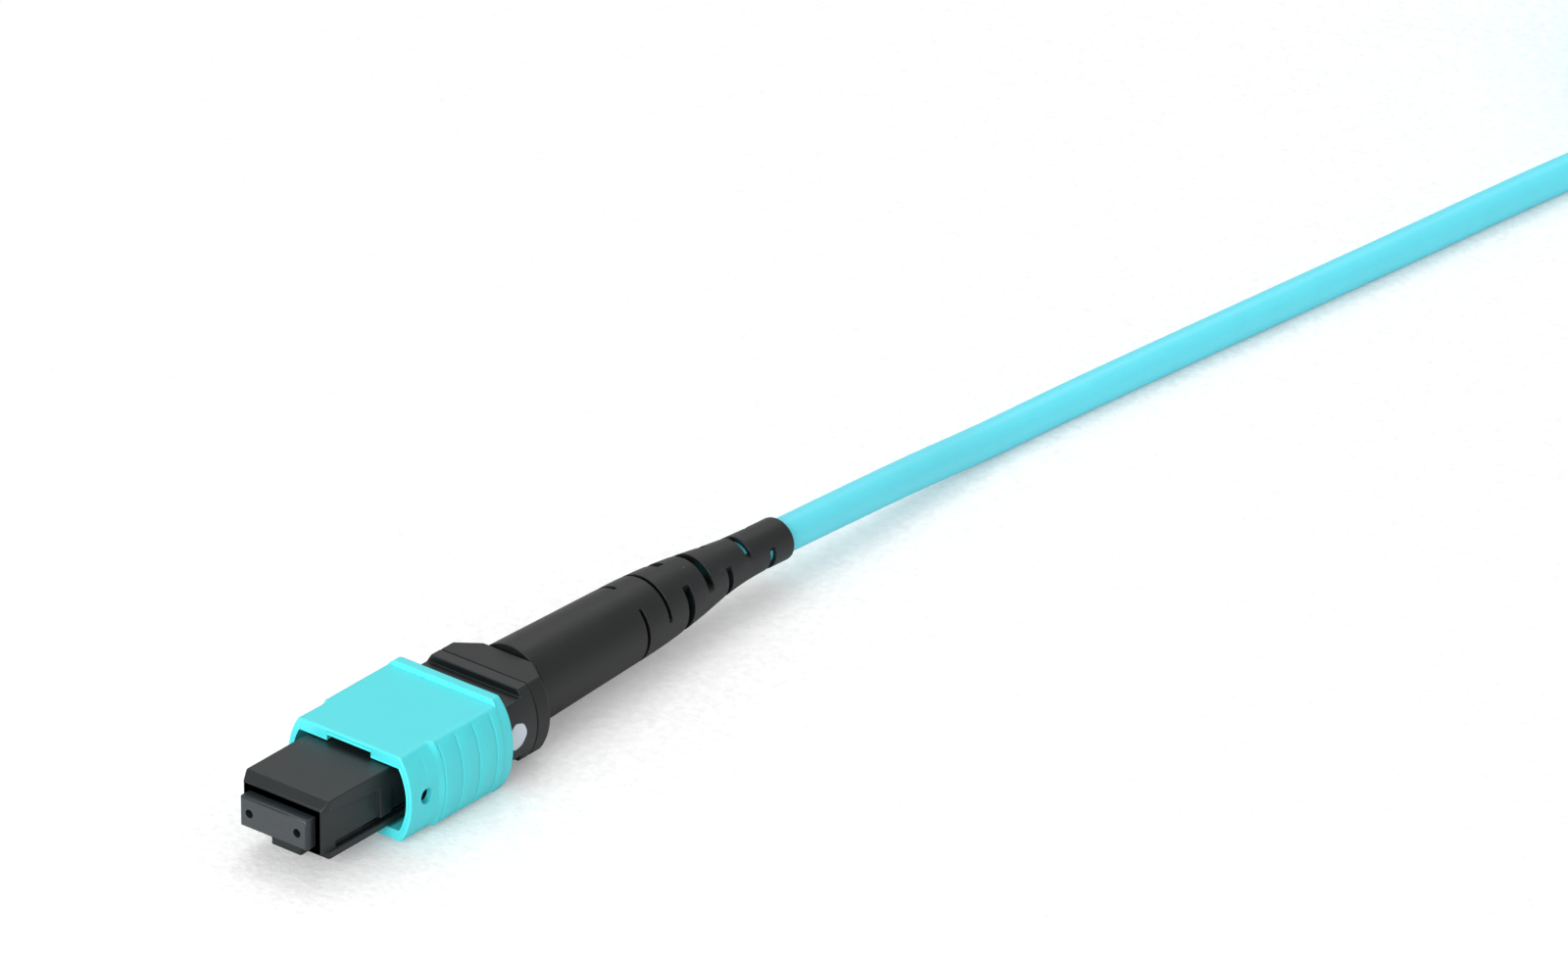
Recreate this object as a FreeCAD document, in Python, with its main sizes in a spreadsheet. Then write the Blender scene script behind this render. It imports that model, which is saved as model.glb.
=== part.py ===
import FreeCAD, Part
import math
import os
import re
import Sketcher

# Multi-fibre push-pull connector on a round cable: a ferrule that floats on a spring in
# an inner housing, a sleeve that slides back to unlatch, and a slotted rubber boot.
# The frame: X is the width, +Y runs back from the ferrule's end face along the fibres
# and +Z is up. The origin is the centre of the ferrule's end face, in millimetres.

# Driving dimensions: name, value and what it measures.
SIZES = {
    # ferrule: a rectangular block with two guide holes and one row of fibre holes
    "ferrule_width": 6.4,
    "ferrule_height": 2.5,
    "ferrule_length": 8.0,
    "ferrule_edge": 0.12,
    "flange_width": 6.8,
    "flange_height": 3.0,
    "flange_length": 1.8,
    "guide_pitch": 4.6,
    "guide_bore": 0.7,
    "fibre_count": 12,
    "fibre_pitch": 0.25,
    "fibre_diameter": 0.125,
    "fibre_bond": 0.0075,
    "fibre_depth": 3.2,
    "window_width": 3.3,
    "window_start": 2.6,
    "window_length": 1.8,
    "ribbon_width": 3.1,
    "ribbon_thickness": 0.3,
    "ribbon_gap": 0.15,
    "ribbon_boot_wall": 0.3,
    "ribbon_boot_depth": 2.6,
    "ribbon_boot_length": 4.4,
    "inner_fit": 0.02,
    # spacer behind the ferrule, and the oval spring that pushes it
    "spacer_width": 6.6,
    "spacer_height": 2.9,
    "spacer_length": 1.5,
    "spacer_opening_gap": 0.15,
    "spring_width": 6.4,
    "spring_height": 2.9,
    "spring_wire": 0.4,
    "spring_turns": 6,
    # inner housing: nose, key, latch grooves, and the collar behind the sleeve
    "ferrule_reach": 1.04,
    "float_gap": 0.08,
    "stop_gap": 0.02,
    "nose_width": 8.0,
    "nose_top": 2.5,
    "nose_bottom": 2.35,
    "nose_lead": 0.66,
    "nose_lead_side": 0.25,
    "nose_front_height": 3.72,
    "mouth_width": 7.0,
    "mouth_height": 3.5,
    "mouth_depth": 1.5,
    "key_width": 2.86,
    "key_height": 0.48,
    "key_setback": 0.4,
    "key_length": 9.5,
    "groove_depth": 0.25,
    "groove_bottom": 1.75,
    "groove_top_front": 1.7,
    "groove_top_rear": 1.1,
    "ledge_slot_start": 2.7,
    "ledge_slot_height": 0.4,
    "ledge_slot_depth": 0.3,
    "catch_start": 7.4,
    "catch_width": 1.3,
    "hook_pocket": 3.2,
    "cheek_start": 18.6,
    "cheek_height": 2.4,
    "collar_front": 22.8,
    "collar_length": 1.14,
    "collar_flat": 8.36,
    "collar_height": 6.1,
    "collar_bulge": 10.38,
    # sliding sleeve
    "sleeve_front": 8.57,
    "sleeve_length": 11.53,
    "sleeve_flat": 9.8,
    "sleeve_height": 7.08,
    "sleeve_bulge": 11.94,
    "sleeve_waist_flat": 9.62,
    "sleeve_waist_bulge": 12.04,
    "sleeve_inner_flat": 9.56,
    "sleeve_inner_height": 5.22,
    "sleeve_inner_bulge": 10.98,
    "grip_setback": 3.78,
    "grip_flat": 10.4,
    "grip_shoulder": 11.0,
    "grip_shoulder_drop": 0.44,
    "grip_bulge": 12.24,
    "grip_swell": 0.12,
    "grip_count": 3,
    "grip_pitch": 1.95,
    "ridge_length": 0.9,
    "ridge_width": 9.6,
    "ridge_height": 0.38,
    "keyway_width": 4.22,
    "keyway_depth": 0.45,
    "keyway_length": 6.0,
    "side_hole": 1.25,
    "side_hole_setback": 1.75,
    "side_hole_rim": 0.12,
    "side_hole_lip": 0.04,
    "sleeve_travel": 1.8,
    # sleeve return springs, one in a channel on each side of the housing
    "lug_length": 0.6,
    "lug_height": 1.1,
    "lug_gap": 0.12,
    "channel_wall": 0.35,
    "channel_reach": 0.5,
    "return_diameter": 1.1,
    "return_wire": 0.18,
    "return_turns": 7,
    # rear body: plug, flange, and the post that the yarn is crimped to
    "seat_start": 17.2,
    "plug_fit": 0.06,
    "hook_width": 2.4,
    "hook_reach": 0.5,
    "hook_length": 1.2,
    "hook_setback": 1.2,
    "hook_gap": 0.06,
    "rear_side_length": 1.38,
    "rear_length": 2.72,
    "rear_flat": 4.72,
    "rear_bulge": 6.74,
    "ribbon_way_width": 3.6,
    "ribbon_way_height": 1.6,
    "post_diameter": 4.4,
    "post_bore": 3.3,
    "post_length": 5.3,
    "post_rings": 4,
    "post_ring_depth": 0.15,
    "post_ring_pitch": 1.1,
    "post_ring_width": 0.4,
    "parting_gap": 0.06,
    # yarn, crimp ring and cable
    "yarn_thickness": 0.14,
    "yarn_setback": 0.4,
    "crimp_wall": 0.3,
    "crimp_neck_wall": 0.4,
    "crimp_neck_length": 3.0,
    "crimp_fit": 0.01,
    "cable_diameter": 2.8,
    "cable_setback": 0.8,
    # slotted boot
    "boot_gap": 0.2,
    "boot_front_diameter": 7.04,
    "boot_shoulder_diameter": 6.26,
    "boot_waist_diameter": 4.56,
    "boot_tail_diameter": 3.52,
    "boot_shoulder": 39.2,
    "boot_waist": 48.9,
    "boot_tail": 55.2,
    "boot_end": 58.1,
    "boot_bend": 75.0,
    "boot_flare": 45.0,
    "boot_lip": 0.28,
    "boot_bore_gap": 0.05,
    "bridge_width": 2.5,
    "bridge_angle": 21.0,
    "slot_start": 39.3,
    "slot_pitch": 2.7,
    "slot_fine": 0.34,
    "slot_wide": 0.8,
    "slot_tail": 0.6,
    # the hank of cable that is folded up and put away behind the connector
    "hank_x": 4.0,
    "hank_near": 173.2,
    "hank_run": 27.0,
    "hank_fold": 8.4,
    "hank_columns": 2,
    "hank_layers": 4,
    "hank_edge": 1.2,
}

# Places worked out from the dimensions above, all along Y unless the name says otherwise.
PLACES = {
    "ferrule_half": "ferrule_width / 2",
    "ferrule_side": "ferrule_height / 2",
    "flange_half": "flange_width / 2",
    "flange_side": "flange_height / 2",
    "flange_start": "ferrule_length - flange_length",
    "guide_x": "guide_pitch / 2",
    "fibre_x": "fibre_pitch * (fibre_count - 1) / 2",
    "fibre_hole": "fibre_diameter + 2 * fibre_bond",
    "ribbon_half": "ribbon_width / 2",
    "ribbon_side": "ribbon_thickness / 2",
    "ribbon_slot_half": "ribbon_half + ribbon_gap",
    "ribbon_slot_side": "ribbon_side + ribbon_gap",
    "boot_hole_half": "ribbon_half + inner_fit",
    "boot_hole_side": "ribbon_side + inner_fit",
    "ribbon_boot_half": "boot_hole_half + ribbon_boot_wall - inner_fit",
    "ribbon_boot_side": "boot_hole_side + ribbon_boot_wall",
    "boot_socket_half": "ribbon_boot_half + inner_fit",
    "boot_socket_side": "ribbon_boot_side + inner_fit",
    "boot_socket_start": "ferrule_length - ribbon_boot_depth",
    "ribbon_boot_end": "boot_socket_start + ribbon_boot_length",
    "window_half": "window_width / 2",
    "window_end": "window_start + window_length",
    "spacer_half": "spacer_width / 2",
    "spacer_side": "spacer_height / 2",
    "spacer_end": "ferrule_length + spacer_length",
    "spacer_hole_half": "ribbon_boot_half + spacer_opening_gap",
    "spacer_hole_side": "ribbon_boot_side + spacer_opening_gap",
    "nose_half": "nose_width / 2",
    "nose_front_half": "nose_half - nose_lead_side",
    "nose_front_side": "nose_front_height / 2",
    "nose_end": "ferrule_reach + nose_lead",
    "mouth_half": "mouth_width / 2",
    "mouth_side": "mouth_height / 2",
    "mouth_end": "ferrule_reach + mouth_depth",
    "bore_half": "ferrule_half + float_gap",
    "bore_side": "ferrule_side + float_gap",
    "cavity_start": "flange_start - stop_gap",
    "spring_half": "spring_width / 2",
    "spring_side": "spring_height / 2",
    "cavity_half": "max(flange_half; spring_half) + float_gap",
    "cavity_side": "max(flange_side; spring_side) + float_gap",
    "key_half": "key_width / 2",
    "key_start": "ferrule_reach + key_setback",
    "key_end": "key_start + key_length",
    "key_bottom": "nose_bottom + key_height",
    "groove_floor": "nose_half - groove_depth",
    "ledge_slot_floor": "groove_floor - ledge_slot_depth",
    "ledge_slot_top": "ledge_slot_height - groove_bottom",
    "catch_end": "catch_start + catch_width",
    "pocket_end": "catch_end + hook_pocket",
    "collar_end": "collar_front + collar_length",
    "collar_half": "collar_flat / 2",
    "collar_side": "collar_height / 2",
    "collar_reach": "collar_bulge / 2",
    "sleeve_rear": "sleeve_front + sleeve_length",
    "sleeve_half": "sleeve_flat / 2",
    "sleeve_side": "sleeve_height / 2",
    "sleeve_reach": "sleeve_bulge / 2",
    "inner_half": "sleeve_inner_flat / 2",
    "inner_side": "sleeve_inner_height / 2",
    "inner_reach": "sleeve_inner_bulge / 2",
    "grip_start": "sleeve_front + grip_setback",
    "grip_half": "grip_flat / 2",
    "grip_reach": "grip_bulge / 2",
    "grip_swell_reach": "grip_reach + grip_swell / 2",
    "waist_half": "sleeve_waist_flat / 2",
    "waist_reach": "sleeve_waist_bulge / 2",
    "shoulder_half": "grip_shoulder / 2",
    "shoulder_swell": "shoulder_half + grip_swell / 2",
    "shoulder_side": "sleeve_side - grip_shoulder_drop",
    "ridge_start": "sleeve_rear - ridge_length",
    "ridge_half": "ridge_width / 2",
    "ridge_side": "sleeve_side + ridge_height",
    "keyway_half": "keyway_width / 2",
    "keyway_side": "inner_side + keyway_depth",
    "keyway_end": "sleeve_front + keyway_length",
    "side_hole_y": "sleeve_front + side_hole_setback",
    "side_hole_rim_diameter": "side_hole + 2 * side_hole_rim",
    "rim_reach": "sleeve_reach + side_hole_lip",
    "lug_start": "pocket_end + channel_wall * 2 + stop_gap",
    "lug_end": "lug_start + lug_length",
    "lug_side": "lug_height / 2",
    "lug_inner": "nose_half + lug_gap",
    "lug_outer": "(inner_reach + sleeve_reach) / 2",
    "channel_stop_end": "pocket_end + channel_wall * 2",
    "channel_side": "lug_side + lug_gap",
    "channel_outer": "channel_side + channel_wall",
    "channel_top": "nose_half + channel_reach",
    "return_x": "nose_half + lug_gap / 2 + return_diameter / 2",
    "plug_half": "cavity_half - plug_fit",
    "plug_side": "cavity_side - plug_fit",
    "rear_start": "collar_end + parting_gap",
    "rear_corner": "rear_start + rear_side_length",
    "rear_end": "rear_start + rear_length",
    "rear_flat_half": "rear_flat / 2",
    "rear_reach": "rear_bulge / 2",
    "ribbon_way_half": "ribbon_way_width / 2",
    "ribbon_way_side": "ribbon_way_height / 2",
    "hook_start": "seat_start + hook_setback",
    "hook_end": "hook_start + hook_length",
    "hook_half": "hook_width / 2",
    "hook_top": "plug_side + hook_reach",
    "hook_window_start": "hook_start - hook_gap",
    "hook_window_end": "hook_end + hook_gap",
    "hook_window_half": "hook_half + hook_gap",
    "post_end": "rear_end + post_length",
    "post_radius": "post_diameter / 2",
    "post_bore_radius": "post_bore / 2",
    "post_ring_floor": "post_radius - post_ring_depth",
    "post_ring_start": "rear_end + post_ring_pitch",
    "post_ring_end": "post_ring_start + post_ring_width",
    "cable_start": "post_end + yarn_thickness + 2 * crimp_fit",
    "cable_radius": "cable_diameter / 2",
    "yarn_start": "rear_end + yarn_setback",
    "yarn_inner": "post_radius + crimp_fit",
    "yarn_outer": "yarn_inner + yarn_thickness",
    "yarn_cap_start": "post_end + crimp_fit",
    "yarn_cap_end": "yarn_cap_start + yarn_thickness",
    "crimp_inner": "yarn_outer + crimp_fit",
    "crimp_outer": "crimp_inner + crimp_wall",
    "crimp_step": "yarn_cap_end + crimp_fit",
    "crimp_step_end": "crimp_step + crimp_wall",
    "crimp_neck_inner": "cable_radius + crimp_fit",
    "crimp_neck_outer": "crimp_neck_inner + crimp_neck_wall",
    "crimp_end": "crimp_step_end + crimp_neck_length",
    "boot_start": "rear_end + boot_gap",
    "boot_front_radius": "boot_front_diameter / 2",
    "boot_shoulder_radius": "boot_shoulder_diameter / 2",
    "boot_waist_radius": "boot_waist_diameter / 2",
    "boot_tail_radius": "boot_tail_diameter / 2",
    "crimp_socket": "crimp_outer + crimp_fit",
    "crimp_socket_end": "crimp_step_end + 2 * crimp_fit",
    "boot_neck": "crimp_neck_outer + crimp_fit",
    "boot_neck_end": "crimp_end + 2 * crimp_fit",
    "boot_bore": "cable_radius + boot_bore_gap",
    "boot_lip_start": "boot_end - boot_lip",
    "boot_lip_radius": "boot_tail_radius - boot_lip",
    "bridge_half": "bridge_width / 2",
    "slot_reach": "2 * boot_front_radius",
    "cable_end": "boot_end - cable_setback",
    "hank_inner": "hank_fold - cable_diameter / 2",
    "hank_outer": "hank_inner + hank_columns * cable_diameter",
    "hank_inner_width": "2 * hank_inner",
    "hank_outer_width": "2 * hank_outer",
    "hank_left": "hank_x - hank_outer",
    "hank_right": "hank_x + hank_outer",
    "hole_left": "hank_x - hank_inner",
    "hole_right": "hank_x + hank_inner",
    "hank_far": "hank_near + hank_run",
    "hank_height": "hank_layers * cable_diameter",
}

# The round sides of each barrel section: the arc through both corners and the widest point.
for section, half, side, reach in (
        ("collar_arc", "collar_half", "collar_side", "collar_reach"),
        ("rear_arc", "rear_flat_half", "collar_side", "rear_reach"),
        ("sleeve_arc", "sleeve_half", "sleeve_side", "sleeve_reach"),
        ("waist_arc", "waist_half", "sleeve_side", "waist_reach"),
        ("inner_arc", "inner_half", "inner_side", "inner_reach"),
        ("grip_arc", "shoulder_half", "shoulder_side", "grip_reach"),
        ("swell_arc", "shoulder_swell", "shoulder_side", "grip_swell_reach")):
    PLACES[section] = f"(({reach} - {half})^2 + {side}^2) / (2 * ({reach} - {half}))"

# Where each scallop of the grip starts, and where each slot of the boot starts and ends.
for index in range(SIZES["grip_count"] + 1):
    PLACES[f"grip_line_{index}"] = f"grip_start + {index} * grip_pitch"
SLOT_WIDTHS = ["slot_fine", "slot_fine", "slot_wide", "slot_wide",
               "slot_tail", "slot_tail", "slot_tail"]
for index, width in enumerate(SLOT_WIDTHS):
    PLACES[f"slot_{index}_start"] = f"slot_start + {index} * slot_pitch - {width} / 2"
    PLACES[f"slot_{index}_end"] = f"slot_start + {index} * slot_pitch + {width} / 2"

doc = FreeCAD.newDocument("push_pull_fibre_connector")


def fill_sheet(name, cells):
    """A spreadsheet with one named cell to a row."""
    sheet = doc.addObject("Spreadsheet::Sheet", name)
    for row, (alias, content) in enumerate(cells.items(), start=1):
        sheet.set(f"A{row}", alias)
        sheet.set(f"B{row}", content)
        sheet.setAlias(f"B{row}", alias)
    return sheet


def with_sheet_names(formula):
    """The formula with each size's name led by its sheet's name."""
    def lead(match):
        word = match.group(0)
        return f"Sizes.{word}" if word in SIZES else word
    return re.sub(r"[a-z_][a-z_0-9]*", lead, formula)


sizes = fill_sheet("Sizes", {name: str(value) for name, value in SIZES.items()})
places = fill_sheet("Places", {name: "=" + with_sheet_names(rule) for name, rule in PLACES.items()})
doc.recompute()


def number(name):
    """The value of a size or place, with its sign turned by a leading minus."""
    if name == "0":
        return 0.0
    if name.startswith("-"):
        return -number(name[1:])
    return float((sizes if name in SIZES else places).get(name))


def link(name):
    """The expression that reads a size or place."""
    if name == "0":
        return "0"
    if name.startswith("-"):
        return f"-({link(name[1:])})"
    return f"Sizes.{name}" if name in SIZES else f"Places.{name}"


def new_body(label):
    body = doc.addObject("PartDesign::Body", label)
    body.Label = label
    return body


def new_sketch(body, name, plane, offset="0"):
    """A sketch on one of the body's origin planes, moved along the plane's normal."""
    sketch = body.newObject("Sketcher::SketchObject", name)
    side = [item for item in body.Origin.OriginFeatures if item.Role == plane][0]
    sketch.AttachmentSupport = (side, [""])
    sketch.MapMode = "FlatFace"
    sketch.setExpression("AttachmentOffset.Base.z", link(offset))
    return sketch


def arc_between(start, end, radius):
    """The arc of a given radius that bulges to the right of the way from start to end."""
    chord = end - start
    half = chord.Length / 2
    inward = FreeCAD.Vector(-chord.y, chord.x, 0).normalize()
    drop = math.sqrt(max(abs(radius) ** 2 - half ** 2, 0.0))
    middle = (start + end) * 0.5
    side = 1.0 if radius > 0 else -1.0
    centre = middle + inward * drop * side
    crown = centre - inward * abs(radius) * side
    return Part.Arc(start, crown, end) if radius > 0 else Part.Arc(end, crown, start)


def add_outline(sketch, corners):
    """A closed outline: each corner is (x, y) or (x, y, radius of the arc to the next one).
    A corner is held by its two distances from the origin and an arc by its radius."""
    first = sketch.GeometryCount
    points = [FreeCAD.Vector(number(c[0]), number(c[1]), 0) for c in corners]
    count = len(corners)
    for index, corner in enumerate(corners):
        start = points[index]
        end = points[(index + 1) % count]
        if len(corner) > 2:
            sketch.addGeometry(arc_between(start, end, number(corner[2])), False)
        else:
            sketch.addGeometry(Part.LineSegment(start, end), False)
    ends = [(2, 1) if len(corner) > 2 and number(corner[2]) < 0 else (1, 2) for corner in corners]
    for index, corner in enumerate(corners):
        edge = first + index
        after = first + (index + 1) % count
        sketch.addConstraint(Sketcher.Constraint("Coincident", edge, ends[index][1],
                                                 after, ends[(index + 1) % count][0]))
        for kind, value in (("DistanceX", corner[0]), ("DistanceY", corner[1])):
            place = Sketcher.Constraint(kind, -1, 1, edge, ends[index][0], number(value))
            row = sketch.addConstraint(place)
            sketch.setExpression(f"Constraints[{row}]", link(value))
        if len(corner) > 2:
            bend = Sketcher.Constraint("Radius", edge, abs(number(corner[2])))
            row = sketch.addConstraint(bend)
            sketch.setExpression(f"Constraints[{row}]", f"abs({link(corner[2])})")


def add_circle(sketch, across, up, diameter):
    centre = FreeCAD.Vector(number(across), number(up), 0)
    circle = Part.Circle(centre, FreeCAD.Vector(0, 0, 1), number(diameter) / 2)
    edge = sketch.addGeometry(circle, False)
    for kind, value in (("DistanceX", across), ("DistanceY", up)):
        row = sketch.addConstraint(Sketcher.Constraint(kind, -1, 1, edge, 3, number(value)))
        sketch.setExpression(f"Constraints[{row}]", link(value))
    row = sketch.addConstraint(Sketcher.Constraint("Diameter", edge, number(diameter)))
    sketch.setExpression(f"Constraints[{row}]", link(diameter))


def side_profile(body, name, outlines, near, far, cut=False):
    """The same outlines in YZ on both sides: a pad or pocket from one width to another."""
    for side, sign in (("left", "-"), ("right", "")):
        sketch = new_sketch(body, f"{name}_{side}_outline", "YZ_Plane", sign + near)
        for outline in outlines:
            add_outline(sketch, outline)
        kind = "PartDesign::Pocket" if cut else "PartDesign::Pad"
        feature = body.newObject(kind, f"{name}_{side}")
        feature.Profile = sketch
        feature.Reversed = cut == (side == "right")
        feature.setExpression("Length", f"{link(far)} - {link(near)}")


def block(half, low, high):
    """The corners of a rectangle that is symmetric left to right."""
    return [("-" + half, low), (half, low), (half, high), ("-" + half, high)]


def barrel(half, side, bulge):
    """The corners of a section with a flat top and bottom and round sides."""
    return [("-" + half, "-" + side), (half, "-" + side, bulge),
            (half, side), ("-" + half, side, bulge)]


def extrude(body, name, outlines, start, end, cut=False):
    """A pad or pocket of outlines in XZ, from one station along Y to another."""
    sketch = new_sketch(body, name + "_outline", "XZ_Plane", "-" + start)
    for outline in outlines:
        add_outline(sketch, outline)
    kind = "PartDesign::Pocket" if cut else "PartDesign::Pad"
    feature = body.newObject(kind, name)
    feature.Profile = sketch
    feature.Reversed = not cut
    feature.setExpression("Length", f"{link(end)} - {link(start)}")
    return feature


def drill(body, name, circles, start, end, cut=True):
    """Round holes, or pins, along Y."""
    sketch = new_sketch(body, name + "_circles", "XZ_Plane", "-" + start)
    for circle in circles:
        add_circle(sketch, *circle)
    feature = body.newObject("PartDesign::Pocket" if cut else "PartDesign::Pad", name)
    feature.Profile = sketch
    feature.Reversed = not cut
    feature.setExpression("Length", f"{link(end)} - {link(start)}")
    return feature


def blend_sections(body, name, sections, cut=False):
    """A loft through outlines in XZ at stations along Y."""
    sketches = []
    for index, (station, outline) in enumerate(sections):
        sketch = new_sketch(body, f"{name}_section_{index}", "XZ_Plane", "-" + station)
        add_outline(sketch, outline)
        sketches.append(sketch)
    loft = body.newObject("PartDesign::SubtractiveLoft" if cut else "PartDesign::AdditiveLoft", name)
    loft.Profile = sketches[0]
    loft.Sections = sketches[1:]
    loft.Ruled = True
    return loft


def turn(body, name, outline):
    """A solid of revolution about Y from an outline in XY, with X as its radius."""
    sketch = new_sketch(body, name + "_outline", "XY_Plane")
    add_outline(sketch, outline)
    feature = body.newObject("PartDesign::Revolution", name)
    feature.Profile = sketch
    feature.ReferenceAxis = (sketch, ["V_Axis"])
    feature.Angle = 360
    return feature


# ---------------------------------------------------------------- ferrule
# A moulded block: guide bores for the mate's pins, twelve fibre holes between them,
# a window over the fibres for the adhesive, and a socket at the back for the ribbon's boot.
ferrule = new_body("ferrule")
extrude(ferrule, "ferrule_block", [block("ferrule_half", "-ferrule_side", "ferrule_side")], "0",
        "ferrule_length")
extrude(ferrule, "ferrule_flange", [block("flange_half", "-flange_side", "flange_side")],
        "flange_start", "ferrule_length")
doc.recompute()
whole = ferrule.Tip
front_edges = []
for index, edge in enumerate(whole.Shape.Edges, start=1):
    if all(abs(vertex.Y) < 1e-6 for vertex in edge.Vertexes):
        front_edges.append(f"Edge{index}")
bevel = ferrule.newObject("PartDesign::Chamfer", "ferrule_front_edge")
bevel.Base = (whole, front_edges)
bevel.setExpression("Size", "Sizes.ferrule_edge")
doc.recompute()
drill(ferrule, "guide_bores", [("-guide_x", "0", "guide_bore"), ("guide_x", "0", "guide_bore")],
      "0", "ferrule_length")
extrude(ferrule, "ribbon_slot", [block("ribbon_slot_half", "-ribbon_slot_side", "ribbon_slot_side")],
        "fibre_depth", "ferrule_length", cut=True)
extrude(ferrule, "boot_socket", [block("boot_socket_half", "-boot_socket_side", "boot_socket_side")],
        "boot_socket_start", "ferrule_length", cut=True)
extrude(ferrule, "adhesive_window", [block("window_half", "0", "flange_side")],
        "window_start", "window_end", cut=True)
fibre_hole = drill(ferrule, "fibre_hole_first", [("-fibre_x", "0", "fibre_hole")], "0", "fibre_depth")
fibre_row = ferrule.newObject("PartDesign::LinearPattern", "fibre_holes")
fibre_row.Originals = [fibre_hole]
fibre_row.Direction = (fibre_hole.Profile[0], ["H_Axis"])
fibre_row.setExpression("Length", "Sizes.fibre_pitch * (Sizes.fibre_count - 1)")
fibre_row.setExpression("Occurrences", "Sizes.fibre_count")
ferrule.Tip = fibre_row

# ---------------------------------------------------------------- fibre ribbon
# Twelve bare glass fibres that end flush in the ferrule, and the flat ribbon behind them.
ribbon = new_body("fibre_ribbon")
extrude(ribbon, "ribbon_strip", [block("ribbon_half", "-ribbon_side", "ribbon_side")],
        "fibre_depth", "cable_start")
bare_fibre = drill(ribbon, "bare_fibre_first", [("-fibre_x", "0", "fibre_diameter")], "0",
                   "fibre_depth", cut=False)
bare_row = ribbon.newObject("PartDesign::LinearPattern", "bare_fibres")
bare_row.Originals = [bare_fibre]
bare_row.Direction = (bare_fibre.Profile[0], ["H_Axis"])
bare_row.setExpression("Length", "Sizes.fibre_pitch * (Sizes.fibre_count - 1)")
bare_row.setExpression("Occurrences", "Sizes.fibre_count")
ribbon.Tip = bare_row

# ---------------------------------------------------------------- ribbon boot
# A small rubber block that keeps the ribbon from bending sharply behind the ferrule.
ribbon_boot = new_body("ribbon_boot")
extrude(ribbon_boot, "boot_block", [block("ribbon_boot_half", "-ribbon_boot_side", "ribbon_boot_side")],
        "boot_socket_start", "ribbon_boot_end")
extrude(ribbon_boot, "boot_way", [block("boot_hole_half", "-boot_hole_side", "boot_hole_side")],
        "boot_socket_start", "ribbon_boot_end", cut=True)

# ---------------------------------------------------------------- spacer
# Stands where a pinned connector has its pin clamp, and passes the spring's push on.
spacer = new_body("spacer")
extrude(spacer, "spacer_plate", [block("spacer_half", "-spacer_side", "spacer_side")],
        "ferrule_length", "spacer_end")
extrude(spacer, "spacer_way", [block("spacer_hole_half", "-spacer_hole_side", "spacer_hole_side")],
        "ferrule_length", "spacer_end", cut=True)

# ---------------------------------------------------------------- inner housing
# A tapered nose with a key below it, a latch groove and catch on each side, the spring
# channels under the sleeve, and a barrel-sided collar that shows behind the sleeve.
housing = new_body("inner_housing")
blend_sections(housing, "nose_lead_in",
               [("ferrule_reach", block("nose_front_half", "-nose_front_side", "nose_front_side")),
                ("nose_end", block("nose_half", "-nose_bottom", "nose_top"))])
extrude(housing, "nose", [block("nose_half", "-nose_bottom", "nose_top")], "nose_end", "collar_end")
extrude(housing, "key", [block("key_half", "-key_bottom", "-nose_front_side")], "key_start", "key_end")

housing_sides = barrel("collar_half", "collar_side", "collar_arc")
extrude(housing, "cheeks_and_collar", [housing_sides], "cheek_start", "collar_end")
extrude(housing, "collar_step",
        [block("collar_reach", "cheek_height", "ridge_side"),
         block("collar_reach", "-ridge_side", "-cheek_height")],
        "cheek_start", "collar_front", cut=True)
side_profile(housing, "latch_groove",
             [[("0", "-groove_bottom"), ("catch_start", "-groove_bottom"),
               ("catch_start", "groove_top_rear"), ("0", "groove_top_front")],
              [("catch_end", "-groove_bottom"), ("pocket_end", "-groove_bottom"),
               ("pocket_end", "groove_top_rear"), ("catch_end", "groove_top_rear")]],
             "groove_floor", "collar_reach", cut=True)

side_profile(housing, "ledge_slot",
             [[("ledge_slot_start", "-groove_bottom"), ("pocket_end", "-groove_bottom"),
               ("pocket_end", "ledge_slot_top"), ("ledge_slot_start", "ledge_slot_top")]],
             "ledge_slot_floor", "collar_reach", cut=True)


def ledge(near, far, low, high):
    """The corners of a rectangle on the right, and of the same one on the left."""
    return [[(near, low), (far, low), (far, high), (near, high)],
            [("-" + far, low), ("-" + near, low), ("-" + near, high), ("-" + far, high)]]


extrude(housing, "channel_stops", ledge("groove_floor", "channel_top", "-channel_outer", "channel_outer"),
        "pocket_end", "channel_stop_end")
extrude(housing, "channel_ribs",
        ledge("groove_floor", "channel_top", "channel_side", "channel_outer")
        + ledge("groove_floor", "channel_top", "-channel_outer", "-channel_side"),
        "channel_stop_end", "cheek_start")
extrude(housing, "mouth", [block("mouth_half", "-mouth_side", "mouth_side")],
        "ferrule_reach", "mouth_end", cut=True)
extrude(housing, "ferrule_way", [block("bore_half", "-bore_side", "bore_side")],
        "mouth_end", "cavity_start", cut=True)
extrude(housing, "spring_cavity", [block("cavity_half", "-cavity_side", "cavity_side")],
        "cavity_start", "collar_end", cut=True)
extrude(housing, "hook_windows", [block("hook_window_half", "-ridge_side", "ridge_side")],
        "hook_window_start", "hook_window_end", cut=True)

# ---------------------------------------------------------------- coupling sleeve
# A barrel-sided sleeve with finger scallops, a ridge at its rear edge, a keyway above and
# below, a hole in each side and an inner lug in front of each return spring.
sleeve = new_body("coupling_sleeve")
blend_sections(sleeve, "sleeve_nose",
               [("sleeve_front", barrel("sleeve_half", "sleeve_side", "sleeve_arc")),
                ("grip_start", barrel("waist_half", "sleeve_side", "waist_arc"))])


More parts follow.
